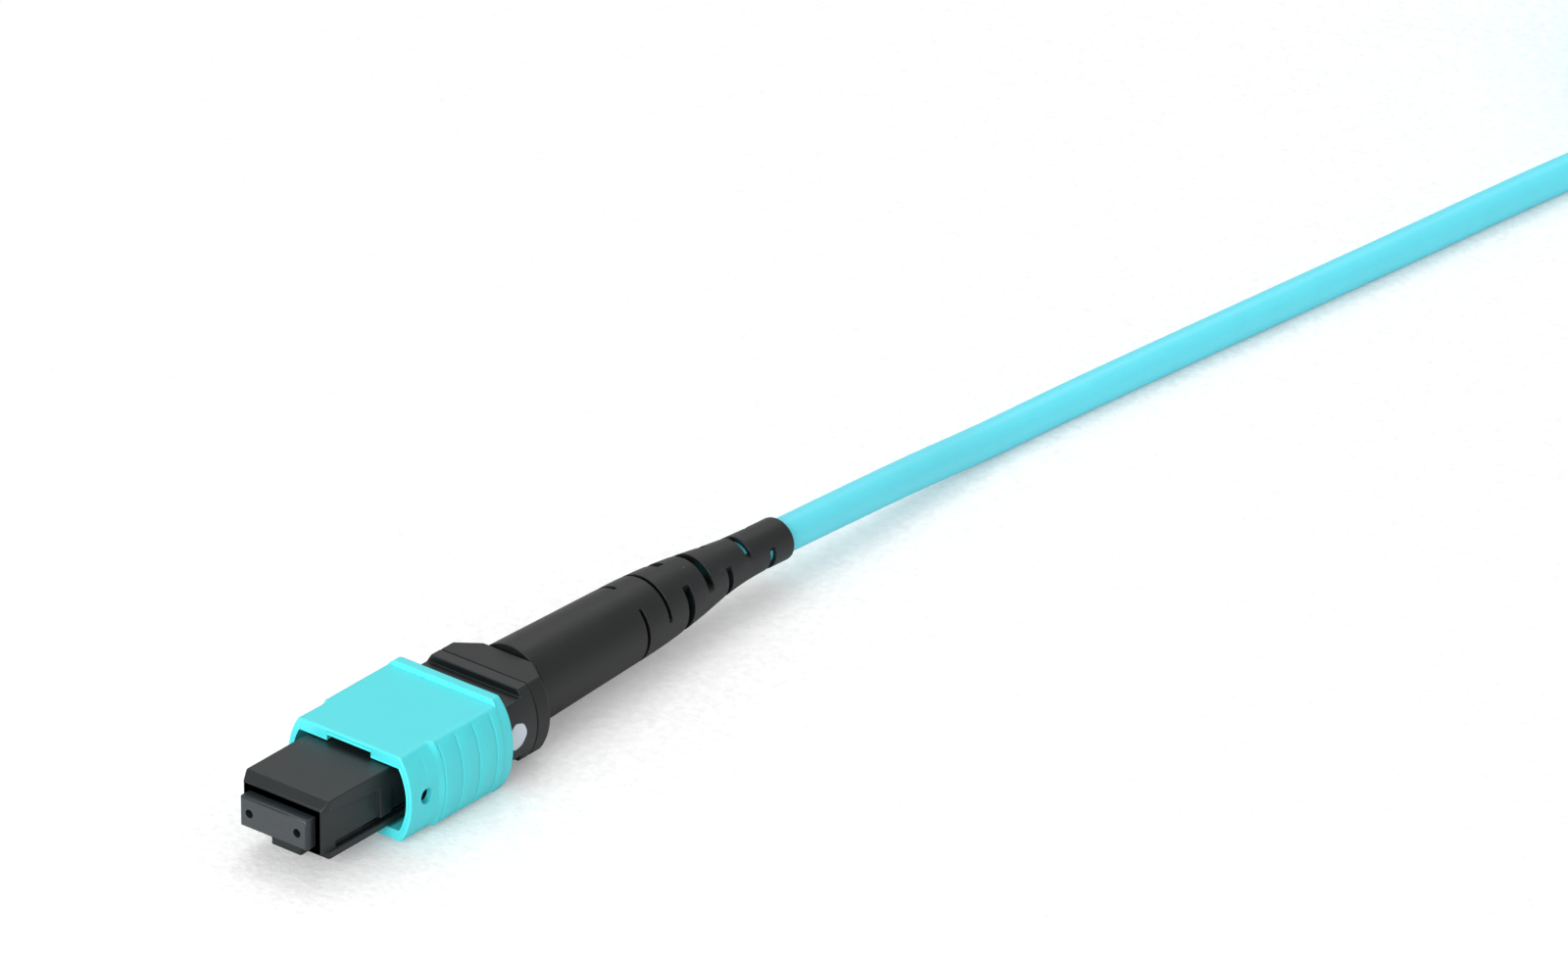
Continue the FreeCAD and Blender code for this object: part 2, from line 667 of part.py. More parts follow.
def grip_section(shoulder, bulge):
    """The grip's section: a flat top and bottom, a sloped shoulder, and round sides."""
    return [("-grip_half", "-sleeve_side"), ("grip_half", "-sleeve_side"),
            (shoulder, "-shoulder_side", bulge), (shoulder, "shoulder_side"),
            ("grip_half", "sleeve_side"), ("-grip_half", "sleeve_side"),
            ("-" + shoulder, "shoulder_side", bulge), ("-" + shoulder, "-shoulder_side")]


for index in range(SIZES["grip_count"]):
    blend_sections(sleeve, f"grip_scallop_{index}",
                   [(f"grip_line_{index}", grip_section("shoulder_half", "grip_arc")),
                    (f"grip_line_{index + 1}", grip_section("shoulder_swell", "swell_arc"))])
extrude(sleeve, "sleeve_tail", [grip_section("shoulder_half", "grip_arc")],
        f"grip_line_{SIZES['grip_count']}", "sleeve_rear")
extrude(sleeve, "rear_ridges",
        [[("-ridge_half", "-ridge_side"), ("ridge_half", "-ridge_side"),
          ("grip_half", "-sleeve_side"), ("grip_half", "sleeve_side"),
          ("ridge_half", "ridge_side"), ("-ridge_half", "ridge_side"),
          ("-grip_half", "sleeve_side"), ("-grip_half", "-sleeve_side")]],
        "ridge_start", "sleeve_rear")
rim = new_sketch(sleeve, "side_hole_rims_circles", "YZ_Plane", "-rim_reach")
add_circle(rim, "side_hole_y", "0", "side_hole_rim_diameter")
rims = sleeve.newObject("PartDesign::Pad", "side_hole_rims")
rims.Profile = rim
rims.setExpression("Length", "2 * " + link("rim_reach"))
extrude(sleeve, "sleeve_way", [barrel("inner_half", "inner_side", "inner_arc")],
        "sleeve_front", "sleeve_rear", cut=True)
extrude(sleeve, "keyways", [block("keyway_half", "-keyway_side", "keyway_side")],
        "sleeve_front", "keyway_end", cut=True)
extrude(sleeve, "spring_lugs", ledge("lug_inner", "lug_outer", "-lug_side", "lug_side"),
        "lug_start", "lug_end")
hole = new_sketch(sleeve, "side_holes_circles", "YZ_Plane", "-rim_reach")
add_circle(hole, "side_hole_y", "0", "side_hole")
holes = sleeve.newObject("PartDesign::Pocket", "side_holes")
holes.Profile = hole
holes.Reversed = True
holes.setExpression("Length", "2 * " + link("rim_reach"))

# ---------------------------------------------------------------- rear body
# Closes the housing: a plug that seats the spring and snaps in by two hooks, a flange that
# repeats the collar's section and narrows towards the boot, and a ribbed crimping post.
rear = new_body("rear_body")
extrude(rear, "plug", [block("plug_half", "-plug_side", "plug_side")], "seat_start", "rear_start")
extrude(rear, "hooks", [block("hook_half", "-hook_top", "hook_top")], "hook_start", "hook_end")
extrude(rear, "rear_flange", [housing_sides], "rear_start", "rear_corner")
blend_sections(rear, "rear_taper",
               [("rear_corner", barrel("collar_half", "collar_side", "collar_arc")),
                ("rear_end", barrel("rear_flat_half", "collar_side", "rear_arc"))])
drill(rear, "crimp_post", [("0", "0", "post_diameter")], "rear_end", "post_end", cut=False)
extrude(rear, "ribbon_way", [block("ribbon_way_half", "-ribbon_way_side", "ribbon_way_side")],
        "seat_start", "rear_start", cut=True)
drill(rear, "post_way", [("0", "0", "post_bore")], "rear_start", "post_end")
ring_sketch = new_sketch(rear, "post_ring_outline", "XY_Plane")
add_outline(ring_sketch, [("post_ring_floor", "post_ring_start"), ("rear_reach", "post_ring_start"),
                          ("rear_reach", "post_ring_end"), ("post_ring_floor", "post_ring_end")])
post_ring = rear.newObject("PartDesign::Groove", "post_ring")
post_ring.Profile = ring_sketch
post_ring.ReferenceAxis = (ring_sketch, ["V_Axis"])
post_ring.Angle = 360
post_rings = rear.newObject("PartDesign::LinearPattern", "post_rings")
post_rings.Originals = [post_ring]
post_rings.Direction = (ring_sketch, ["V_Axis"])
post_rings.setExpression("Length", "Sizes.post_ring_pitch * (Sizes.post_rings - 1)")
post_rings.setExpression("Occurrences", "Sizes.post_rings")
rear.Tip = post_rings

# ---------------------------------------------------------------- yarn, crimp ring, cable
# The cable's yarn is folded forward over the post and clamped there by a stepped metal ring,
# whose narrow neck also grips the jacket.
yarn = new_body("aramid_yarn")
turn(yarn, "yarn_layer",
     [("yarn_inner", "yarn_start"), ("yarn_outer", "yarn_start"), ("yarn_outer", "yarn_cap_end"),
      ("post_bore_radius", "yarn_cap_end"), ("post_bore_radius", "yarn_cap_start"),
      ("yarn_inner", "yarn_cap_start")])

crimp = new_body("crimp_ring")
turn(crimp, "crimp_wall_and_neck",
     [("crimp_inner", "yarn_start"), ("crimp_outer", "yarn_start"), ("crimp_outer", "crimp_step_end"),
      ("crimp_neck_outer", "crimp_step_end"), ("crimp_neck_outer", "crimp_end"),
      ("crimp_neck_inner", "crimp_end"), ("crimp_neck_inner", "crimp_step"),
      ("crimp_inner", "crimp_step")])

cable_entry = new_body("cable_entry")
drill(cable_entry, "jacket", [("0", "0", "cable_diameter")], "cable_start", "cable_end", cut=False)

# ---------------------------------------------------------------- strain relief boot
# A rubber boot that is pushed over the crimp ring. Past its shoulder it narrows in a slow
# S to a short collar. Seven rings of slots are cut from both sides towards the cable: each
# leaves two bridges, and the bridges turn by a quarter from one ring to the next.
boot = new_body("strain_relief_boot")
turn(boot, "boot_wall",
     [("crimp_socket", "boot_start"), ("boot_front_radius", "boot_start"),
      ("boot_shoulder_radius", "boot_shoulder", "boot_bend"),
      ("boot_waist_radius", "boot_waist", "-boot_flare"),
      ("boot_tail_radius", "boot_tail"), ("boot_tail_radius", "boot_lip_start", "boot_lip"),
      ("boot_lip_radius", "boot_end"), ("boot_bore", "boot_end"), ("boot_bore", "boot_neck_end"),
      ("boot_neck", "boot_neck_end"), ("boot_neck", "crimp_socket_end"),
      ("crimp_socket", "crimp_socket_end")])
for index, width in enumerate(SLOT_WIDTHS):
    sketch = new_sketch(boot, f"slot_pair_{index}_outline", "XZ_Plane", f"-slot_{index}_start")
    quarter = 90 if index % 2 == 0 else 0
    sketch.setExpression("AttachmentOffset.Rotation.Angle", f"-(Sizes.bridge_angle + {quarter})")
    add_outline(sketch, block("slot_reach", "bridge_half", "slot_reach"))
    add_outline(sketch, block("slot_reach", "-slot_reach", "-bridge_half"))
    slots = boot.newObject("PartDesign::Pocket", f"slot_pair_{index}")
    slots.Profile = sketch
    slots.setExpression("Length", f"Sizes.{width}")

# ---------------------------------------------------------------- hank of cable
# The outer shape of the cable that is folded up and put away: a long ring on the floor.
hank = new_body("cable_hank")


def flat_ring_part(name, left, right, width, cut):
    """One run and two round ends of the hank's ring, raised from the floor or cut out of it."""
    outlines = {"run": [(left, "hank_near"), (right, "hank_near"), (right, "hank_far"),
                        (left, "hank_far")],
                "near_end": "hank_near", "far_end": "hank_far"}
    for part, outline in outlines.items():
        sketch = new_sketch(hank, f"{name}_{part}_outline", "XY_Plane", "-ridge_side")
        if part == "run":
            add_outline(sketch, outline)
        else:
            add_circle(sketch, "hank_x", outline, width)
        feature = hank.newObject("PartDesign::Pocket" if cut else "PartDesign::Pad", f"{name}_{part}")
        feature.Profile = sketch
        feature.Reversed = cut
        feature.setExpression("Length", link("hank_height"))


flat_ring_part("hank", "hank_left", "hank_right", "hank_outer_width", False)
flat_ring_part("hole", "hole_left", "hole_right", "hank_inner_width", True)
doc.recompute()
ring = hank.Tip
rim_edges = []
for index, edge in enumerate(ring.Shape.Edges, start=1):
    low, high = edge.BoundBox.ZMin, edge.BoundBox.ZMax
    if high - low < 1e-6:
        rim_edges.append(f"Edge{index}")
soft_rim = hank.newObject("PartDesign::Fillet", "hank_edges")
soft_rim.Base = (ring, rim_edges)
soft_rim.setExpression("Radius", link("hank_edge"))
doc.recompute()


# ---------------------------------------------------------------- springs
def wound_wire(label, width, height, wire, turns, start, end, across):
    """A compression spring along Y. Each half turn is a level run, where the coil is oval,
    and a half circle that is tipped so that the wire climbs by half a pitch."""
    side = (height - wire) / 2
    run = (width - wire) / 2 - side
    low = start + wire / 2
    climb = (end - wire / 2 - low) / (2 * turns)
    bend = math.hypot(side, climb / 2)
    edges = []
    for half_turn in range(2 * turns):
        way = 1 if half_turn % 2 == 0 else -1
        y = low + half_turn * climb
        if run > 1e-6:
            edges.append(Part.LineSegment(FreeCAD.Vector(across - way * run, y, way * side),
                                          FreeCAD.Vector(across + way * run, y, way * side)).toShape())
        edges.append(Part.Arc(FreeCAD.Vector(across + way * run, y, way * side),
                              FreeCAD.Vector(across + way * (run + bend), y + climb / 2, 0),
                              FreeCAD.Vector(across + way * run, y + climb, -way * side)).toShape())
    return sweep_round(label, edges, wire)


def sweep_round(label, edges, diameter):
    """A round section carried along edges that meet at a tangent."""
    path = Part.Wire(edges)
    first = path.OrderedEdges[0]
    start = first.valueAt(first.FirstParameter)
    along = first.tangentAt(first.FirstParameter)
    section = Part.Wire(Part.makeCircle(diameter / 2, start, along))
    piece = doc.addObject("Part::Feature", label)
    piece.Label = label
    piece.Shape = path.makePipeShell([section], True, False)
    expected = math.pi * diameter ** 2 / 4 * path.Length
    if abs(piece.Shape.Volume / expected - 1) > 0.02:
        raise ValueError(f"{label} holds {piece.Shape.Volume:.2f}, not {expected:.2f}")
    piece.Placement = FreeCAD.Placement()
    return piece


main_spring = wound_wire("main_spring", number("spring_width"), number("spring_height"),
                         number("spring_wire"), int(number("spring_turns")),
                         number("spacer_end"), number("seat_start"), 0.0)
return_springs = []
for side, sign in (("left", -1), ("right", 1)):
    return_springs.append(wound_wire(f"return_spring_{side}", number("return_diameter"),
                                     number("return_diameter"), number("return_wire"),
                                     int(number("return_turns")), number("lug_end"),
                                     number("cheek_start"), sign * number("return_x")))


# ---------------------------------------------------------------- uncoiled cable
def rounded_route(points):
    """Straight runs joined by tangent arcs, each as large as its two runs allow."""
    edges = []
    here = points[0]
    for before, corner, after in zip(points, points[1:], points[2:]):
        back = (before - corner).normalize()
        ahead = (after - corner).normalize()
        turn_angle = math.pi - back.getAngle(ahead)
        reach = 0.45 * min((before - corner).Length, (after - corner).Length)
        radius = reach / math.tan(turn_angle / 2)
        print(f"cable bend {radius:.1f} mm")
        enter = corner + back * reach
        leave = corner + ahead * reach
        inward = (back + ahead).normalize()
        crown = corner + inward * (radius / math.cos(turn_angle / 2) - radius)
        edges.append(Part.LineSegment(here, enter).toShape())
        edges.append(Part.Arc(enter, crown, leave).toShape())
        here = leave
    edges.append(Part.LineSegment(here, points[-1]).toShape())
    return edges


# The cable leaves the boot, sinks to the floor and runs on under the hank's near end.
floor = number("cable_radius") - number("ridge_side")
CABLE_ROUTE = [
    (0.0, number("cable_end"), 0.0),
    (0.0, 66.5, 0.0),
    (0.0, 77.0, -1.3),
    (0.2, 92.0, floor),
    (2.3, 112.0, floor),
    (5.1, 137.0, floor),
    (7.0, 152.5, floor),
    (12.4, 167.0, floor),
    (12.4, 179.0, floor),
]
route = [FreeCAD.Vector(*point) for point in CABLE_ROUTE]
cable_tube = sweep_round("cable_tube", rounded_route(route), number("cable_diameter"))

# ---------------------------------------------------------------- checks and files
doc.recompute()
pieces = [ferrule, ribbon, ribbon_boot, spacer, housing, sleeve, rear, yarn, crimp, cable_entry,
          boot, hank, main_spring, *return_springs, cable_tube]
for item in doc.Objects:
    if "Invalid" in item.State or "Error" in item.State:
        raise ValueError(f"{item.Name} failed: {item.State}")
for piece in pieces:
    if piece.Shape.isNull() or not piece.Shape.isValid():
        raise ValueError(f"{piece.Label} has no valid shape")

os.makedirs("parts", exist_ok=True)
for piece in pieces:
    piece.Shape.exportStep(f"parts/{piece.Label}.step")
    print(f"{piece.Label}: {len(piece.Shape.Solids)} solid, {piece.Shape.Volume:.3f} mm3")
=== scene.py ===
import math

import bmesh
import bpy
import numpy as np
from mathutils import Matrix, Vector


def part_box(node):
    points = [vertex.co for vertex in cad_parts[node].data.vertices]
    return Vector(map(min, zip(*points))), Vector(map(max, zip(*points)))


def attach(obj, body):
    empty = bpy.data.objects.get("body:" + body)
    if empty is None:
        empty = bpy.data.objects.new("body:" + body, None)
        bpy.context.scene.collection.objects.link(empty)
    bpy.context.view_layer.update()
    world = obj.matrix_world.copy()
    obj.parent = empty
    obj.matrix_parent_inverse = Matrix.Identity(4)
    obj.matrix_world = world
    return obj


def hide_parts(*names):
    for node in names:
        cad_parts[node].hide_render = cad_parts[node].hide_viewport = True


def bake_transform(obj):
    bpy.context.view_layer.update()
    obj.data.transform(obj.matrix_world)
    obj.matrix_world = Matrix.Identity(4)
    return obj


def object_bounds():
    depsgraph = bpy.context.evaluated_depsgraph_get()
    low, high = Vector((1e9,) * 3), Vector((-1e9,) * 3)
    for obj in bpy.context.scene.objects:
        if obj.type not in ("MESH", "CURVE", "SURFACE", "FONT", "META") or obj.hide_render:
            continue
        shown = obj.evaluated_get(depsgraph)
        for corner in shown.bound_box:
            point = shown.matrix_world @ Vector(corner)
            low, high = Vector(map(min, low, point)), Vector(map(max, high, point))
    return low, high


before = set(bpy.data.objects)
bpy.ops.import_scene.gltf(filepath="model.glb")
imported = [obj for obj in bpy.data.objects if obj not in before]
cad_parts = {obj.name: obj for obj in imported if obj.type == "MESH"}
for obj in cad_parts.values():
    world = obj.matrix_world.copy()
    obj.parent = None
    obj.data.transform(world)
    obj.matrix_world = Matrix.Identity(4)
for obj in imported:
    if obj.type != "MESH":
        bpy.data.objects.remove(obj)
cad_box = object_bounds()
MM = 0.001


# ---------------------------------------------------------------- table, lamps and camera
# The plug lies on a plain white table under two large soft lamps, with a pale room around.
# The camera looks down on it from in front and from the index dot's side, through a long lens.
# These sizes are in metres.
TABLE_TOP = float(cad_box[0][2])
TABLE_HALF = 1.5
TABLE_GRAIN_SCALE = 1900.0
TABLE_GRAIN_HEIGHT = 0.15 * MM
TABLE_WHITES = (0.76, 0.90)
TABLE_GLOW = 0.235
ROOM_FILL = 0.54
ROOM_SEEN = 1.0
WHITE = (1, 1, 1, 1)


def new_material(name):
    """A material with only its output node, and the tree it is built in."""
    material = bpy.data.materials.new(name)
    material.use_nodes = True
    material.node_tree.nodes.clear()
    output = material.node_tree.nodes.new("ShaderNodeOutputMaterial")
    return material, material.node_tree, output


def feed(tree, socket, value):
    """Gives an input a plain value, or links another node's output to it."""
    if isinstance(value, bpy.types.NodeSocket):
        tree.links.new(value, socket)
    else:
        socket.default_value = value


def maths(tree, operation, *given, kind="ShaderNodeMath"):
    """The output of a maths node. Each of its inputs is a value, an output, or None to pass."""
    node = tree.nodes.new(kind)
    node.operation = operation
    for socket, value in zip(node.inputs, given):
        if value is not None:
            feed(tree, socket, value)
    return node.outputs[0]


def noise(tree, place, scale, detail):
    """Noise between 0 and 1 at a place."""
    node = tree.nodes.new("ShaderNodeTexNoise")
    node.inputs["Detail"].default_value = detail
    feed(tree, node.inputs["Vector"], place)
    feed(tree, node.inputs["Scale"], scale)
    return node.outputs["Fac"]


def raised(tree, height, strength, distance):
    """The way a surface faces where a height stands up from it by up to a distance."""
    node = tree.nodes.new("ShaderNodeBump")
    node.inputs["Strength"].default_value = strength
    node.inputs["Distance"].default_value = distance
    feed(tree, node.inputs["Height"], height)
    return node.outputs[0]


def set_mesh(name, vertices, faces):
    """A mesh object at the origin from an array of points and a list of corner numbers."""
    mesh = bpy.data.meshes.new(name)
    mesh.from_pydata([tuple(v) for v in vertices], [], [tuple(int(i) for i in f) for f in faces])
    mesh.update()
    piece = bpy.data.objects.new(name, mesh)
    bpy.context.scene.collection.objects.link(piece)
    return piece


def table_finish():
    """White to the eye: plain diffuse white that shadows darken, with a fine pressed grain,
    and added to it a share of light that only the camera sees."""
    material, tree, output = new_material("white_table")
    new, link = tree.nodes.new, tree.links.new
    grain = noise(tree, new("ShaderNodeTexCoord").outputs["Object"], TABLE_GRAIN_SCALE, 3.0)
    pale = new("ShaderNodeMapRange")
    pale.inputs["From Min"].default_value = 0.3
    pale.inputs["From Max"].default_value = 0.7
    pale.inputs["To Min"].default_value, pale.inputs["To Max"].default_value = TABLE_WHITES
    link(grain, pale.inputs["Value"])
    board = new("ShaderNodeBsdfDiffuse")
    link(pale.outputs[0], board.inputs["Color"])
    link(raised(tree, grain, 0.35, TABLE_GRAIN_HEIGHT), board.inputs["Normal"])
    glow = new("ShaderNodeEmission")
    glow.inputs["Color"].default_value = WHITE
    seen = new("ShaderNodeLightPath").outputs["Is Camera Ray"]
    link(maths(tree, "MULTIPLY", seen, TABLE_GLOW), glow.inputs["Strength"])
    both = new("ShaderNodeAddShader")
    link(board.outputs[0], both.inputs[0])
    link(glow.outputs[0], both.inputs[1])
    link(both.outputs[0], output.inputs["Surface"])
    return material


TABLE_CORNERS = ((-1, -1), (1, -1), (1, 1), (-1, 1))
table = set_mesh("table", [(x * TABLE_HALF, y * TABLE_HALF, TABLE_TOP) for x, y in TABLE_CORNERS],
                 [(0, 1, 2, 3)])
table.data.materials.append(table_finish())

room = bpy.data.worlds.new("pale_room")
bpy.context.scene.world = room
room.use_nodes = True
room_tree = room.node_tree
room_tree.nodes.clear()
room_out = room_tree.nodes.new("ShaderNodeOutputWorld")
room_mix = room_tree.nodes.new("ShaderNodeMixShader")
room_path = room_tree.nodes.new("ShaderNodeLightPath")
room_tree.links.new(room_path.outputs["Is Camera Ray"], room_mix.inputs[0])
for number, strength in ((1, ROOM_FILL), (2, ROOM_SEEN)):
    light_around = room_tree.nodes.new("ShaderNodeBackground")
    light_around.inputs["Color"].default_value = WHITE
    light_around.inputs["Strength"].default_value = strength
    room_tree.links.new(light_around.outputs[0], room_mix.inputs[number])
room_tree.links.new(room_mix.outputs[0], room_out.inputs["Surface"])


def soft_lamp(name, place, aim, size, power):
    """A square area lamp at a place, turned to face a point."""
    light = bpy.data.lights.new(name, "AREA")
    light.shape = "SQUARE"
    light.size = size
    light.energy = power
    lamp = bpy.data.objects.new(name, light)
    bpy.context.scene.collection.objects.link(lamp)
    way = Vector(aim) - Vector(place)
    lamp.rotation_euler = way.to_track_quat("-Z", "Y").to_euler()
    lamp.location = place


PLUG_MIDDLE = (0.0, 0.03, 0.0)
soft_lamp("overhead_lamp", (-0.35, 0.45, 0.95), PLUG_MIDDLE, 0.8, 3.35)
soft_lamp("front_lamp", (0.12, -0.87, 0.28), PLUG_MIDDLE, 0.7, 8.9)

CAMERA_TURN = math.radians(39.465)
CAMERA_RISE = math.radians(28.08)
CAMERA_REACH = 1.5
HALF_VIEW = 57.364 * MM
AIM_RIGHT = 37.392 * MM
AIM_UP = 25.303 * MM
SENSOR = 36.0

right = Vector((math.cos(CAMERA_TURN), math.sin(CAMERA_TURN), 0))
back = Vector((math.sin(CAMERA_TURN) * math.cos(CAMERA_RISE),
               -math.cos(CAMERA_TURN) * math.cos(CAMERA_RISE), math.sin(CAMERA_RISE)))
up = back.cross(right)
lens = bpy.data.cameras.new("long_lens")
lens.sensor_fit = "HORIZONTAL"
lens.sensor_width = SENSOR
lens.lens = SENSOR / 2 * CAMERA_REACH / HALF_VIEW
lens.clip_start = 0.05
lens.clip_end = 20
camera = bpy.data.objects.new("camera", lens)
bpy.context.scene.collection.objects.link(camera)
camera.matrix_world = Matrix((
    (right.x, up.x, back.x, 0), (right.y, up.y, back.y, 0), (right.z, up.z, back.z, 0),
    (0, 0, 0, 1)))
camera.location = AIM_RIGHT * right + AIM_UP * up + CAMERA_REACH * back
bpy.context.scene.camera = camera
bpy.context.scene.view_settings.view_transform = "Standard"


# ---------------------------------------------------------------- cable
# A round aqua jacket over yarn and a ribbon of fibres. It sags from the boot to the table
# and runs on to where the rest of its metre is folded up in a small hank.
CABLE_DIAMETER = 2.8 * MM
# The route, the hank and every size from here on are in millimetres, unless times MM.
CABLE_EXIT = (0.0, 57.3, -0.30)
FLOOR_LINE = -2.52
CABLE_ROUTE = [
    CABLE_EXIT,
    (0.0, 66.5, -0.90),
    (-0.15, 75.0, -1.62),
    (-0.30, 83.0, FLOOR_LINE),
    (0.35, 91.0, FLOOR_LINE),
    (1.25, 99.5, FLOOR_LINE),
    (2.55, 111.0, FLOOR_LINE),
    (4.45, 127.5, FLOOR_LINE),
    (6.25, 144.5, FLOOR_LINE),
    (7.6, 153.0, FLOOR_LINE),
    (12.4, 166.0, FLOOR_LINE),
]
HANK_MIDDLE = 4.0
HANK_NEAR = 173.2
HANK_RUN = 27.0
HANK_FOLD = 8.4
HANK_TURNS = 7.06
HANK_POINTS = 24
ROW = 2.84
TIE_LIFT = 0.4
# Where in the winding a turn moves out (+1) or in (-1) by a row, and where it climbs a layer.
ROW_STEPS = ((0.78, 0.95, 1), (2.54, 2.66, -1), (4.30, 4.42, 1), (6.06, 6.18, -1))
LAYER_STEPS = ((1.66, 1.78, 1), (3.42, 3.54, 1), (5.18, 5.30, 1))
# The turns after the first lie over the cable that runs in, and rise to it along this stretch.
OVER_ENTRY_FROM = 0.6
OVER_ENTRY_RISE = (-14.0, -2.0)


def eased(value, start, end):
    """0 before start, 1 after end, and 3t^2 - 2t^3 between."""
    part = np.clip((value - start) / (end - start), 0, 1)
    return part * part * (3 - 2 * part)


def smooth_steps(place, steps):
    """The sum of steps of a given size, each eased between its two ends."""
    return sum(size * eased(place, start, end) for start, end, size in steps)


def folded(turns):
    """Points of the hank. A turn is two straight runs and two half circles, gone along by the
    length of their middle line; each point lies square to that line, at its own row's radius."""
    mean = HANK_FOLD + ROW / 2
    whole = 2 * HANK_RUN + 2 * math.pi * mean
    way = (turns % 1.0) * whole
    bend = math.pi * mean
    far_angle = np.clip((way - HANK_RUN) / mean, 0, math.pi)
    near_angle = np.clip((way - 2 * HANK_RUN - bend) / mean, 0, math.pi)
    angle = far_angle + near_angle
    along = np.clip(way, 0, HANK_RUN) - np.clip(way - HANK_RUN - bend, 0, HANK_RUN)
    radius = HANK_FOLD + ROW * smooth_steps(turns, ROW_STEPS)
    place_y = HANK_NEAR + along + radius * np.sin(angle)
    over = ROW * eased(HANK_NEAR - place_y, *OVER_ENTRY_RISE) * (turns > OVER_ENTRY_FROM)
    return np.column_stack((HANK_MIDDLE + radius * np.cos(angle), place_y,
                            FLOOR_LINE + TIE_LIFT + over
                            + ROW * smooth_steps(turns, LAYER_STEPS)))


hank_turns = np.arange(0.5, HANK_TURNS * HANK_POINTS) / HANK_POINTS
route = np.vstack((np.array(CABLE_ROUTE), folded(hank_turns))) * MM
line = bpy.data.curves.new("cable", "CURVE")
line.dimensions = "3D"
spline = line.splines.new("NURBS")
spline.points.add(len(route) - 1)
spline.points.foreach_set("co", np.column_stack((route, np.ones(len(route)))).ravel())
spline.order_u = 3
spline.use_endpoint_u = True
spline.resolution_u = 8
line.bevel_depth = CABLE_DIAMETER / 2
line.bevel_resolution = 8
line.use_fill_caps = True
cable = bpy.data.objects.new("cable", line)
bpy.context.scene.collection.objects.link(cable)


VECTOR_MATHS = "ShaderNodeVectorMath"
PATCH_SCALE = 420.0
SPECK_SCALE = 720.0
SPECK_STRETCH = (1.0, 0.5, 0.8)
SPECK_RARITY = 0.35
SPECK_REACH = 0.06


def build_mould_grain():
    """Fine eroded grain of a moulding: noise for its height, a slow change of tone and
    roughness, and a few pale specks of dust, all in the piece's own coordinates."""
    group = bpy.data.node_groups.new("mould_grain", "ShaderNodeTree")
    for name, value in (("Grain Size", 0.05), ("Tone", 0.06), ("Roughness", 0.5),
                        ("Roughness Change", 0.1), ("Specks", 0.0)):
        socket = group.interface.new_socket(name=name, in_out="INPUT",
                                            socket_type="NodeSocketFloat")
        socket.default_value = value
    for name, way, kind in (("Color", "INPUT", "NodeSocketColor"),
                            ("Color", "OUTPUT", "NodeSocketColor"),
                            ("Roughness", "OUTPUT", "NodeSocketFloat"),
                            ("Height", "OUTPUT", "NodeSocketFloat")):
        group.interface.new_socket(name=name, in_out=way, socket_type=kind)
    new, link = group.nodes.new, group.links.new
    given = new("NodeGroupInput").outputs
    made = new("NodeGroupOutput").inputs
    place = new("ShaderNodeTexCoord").outputs["Object"]

    per_metre = maths(group, "DIVIDE", 1 / MM, given["Grain Size"])
    link(noise(group, place, per_metre, 2.0), made["Height"])

    centred = maths(group, "SUBTRACT", noise(group, place, PATCH_SCALE, 4.0), 0.5)
    link(maths(group, "MULTIPLY_ADD", centred, given["Roughness Change"], given["Roughness"]),
         made["Roughness"])
    tone = maths(group, "MULTIPLY_ADD", centred, given["Tone"], 1.0)
    shade = maths(group, "SCALE", given["Color"], None, None, tone, kind=VECTOR_MATHS)

    cells = new("ShaderNodeTexVoronoi")
    cells.inputs["Scale"].default_value = SPECK_SCALE
    link(maths(group, "MULTIPLY", place, SPECK_STRETCH, kind=VECTOR_MATHS),
         cells.inputs["Vector"])
    chance = new("ShaderNodeSeparateColor")
    link(cells.outputs["Color"], chance.inputs[0])
    rare = maths(group, "GREATER_THAN", chance.outputs[0], SPECK_RARITY)
    reach = maths(group, "MULTIPLY", chance.outputs[1], SPECK_REACH)
    inside = maths(group, "LESS_THAN", cells.outputs["Distance"], reach)
    speck = maths(group, "MULTIPLY", maths(group, "MULTIPLY", rare, inside), given["Specks"])
    link(maths(group, "ADD", shade, speck, kind=VECTOR_MATHS), made["Color"])
    return group


MOULD_GRAIN = build_mould_grain()


def moulded(name, colour, roughness, grain=0.05, bump=0.2, tone=0.08, change=0.12, specks=0.0,
            **sockets):
    """Moulded plastic or rubber: its colour and roughness change slowly over the surface, and
    its grain stands up from it by a fraction of its size."""
    material, tree, output = new_material(name)
    surface = tree.nodes.new("ShaderNodeBsdfPrincipled")
    surface.inputs["Base Color"].default_value = (*colour, 1)
    surface.inputs["Roughness"].default_value = roughness
    for socket, value in sockets.items():
        surface.inputs[socket.replace("_", " ")].default_value = value
    grained = tree.nodes.new("ShaderNodeGroup")
    grained.node_tree = MOULD_GRAIN
    for socket, value in (("Grain Size", grain), ("Tone", tone), ("Specks", specks),
                          ("Roughness", roughness), ("Roughness Change", change),
                          ("Color", (*colour, 1))):
        grained.inputs[socket].default_value = value
    bumped = raised(tree, grained.outputs["Height"], bump, grain * 0.4 * MM)
    tree.links.new(grained.outputs["Color"], surface.inputs["Base Color"])
    tree.links.new(grained.outputs["Roughness"], surface.inputs["Roughness"])
    tree.links.new(bumped, surface.inputs["Normal"])
    tree.links.new(surface.outputs[0], output.inputs["Surface"])
    return material


def srgb(red, green, blue):
    """The linear colour of a screen colour from 0 to 255."""
    return tuple(c / 12.92 if c <= 0.04045 else ((c + 0.055) / 1.055) ** 2.4
                 for c in (red / 255, green / 255, blue / 255))


JACKET = moulded("cable_jacket", srgb(99, 237, 255), 0.4, grain=0.25, bump=0.15,
                 Specular_IOR_Level=0.85)
line.materials.append(JACKET)
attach(cable, "housing")
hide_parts("cable_tube", "cable_hank")

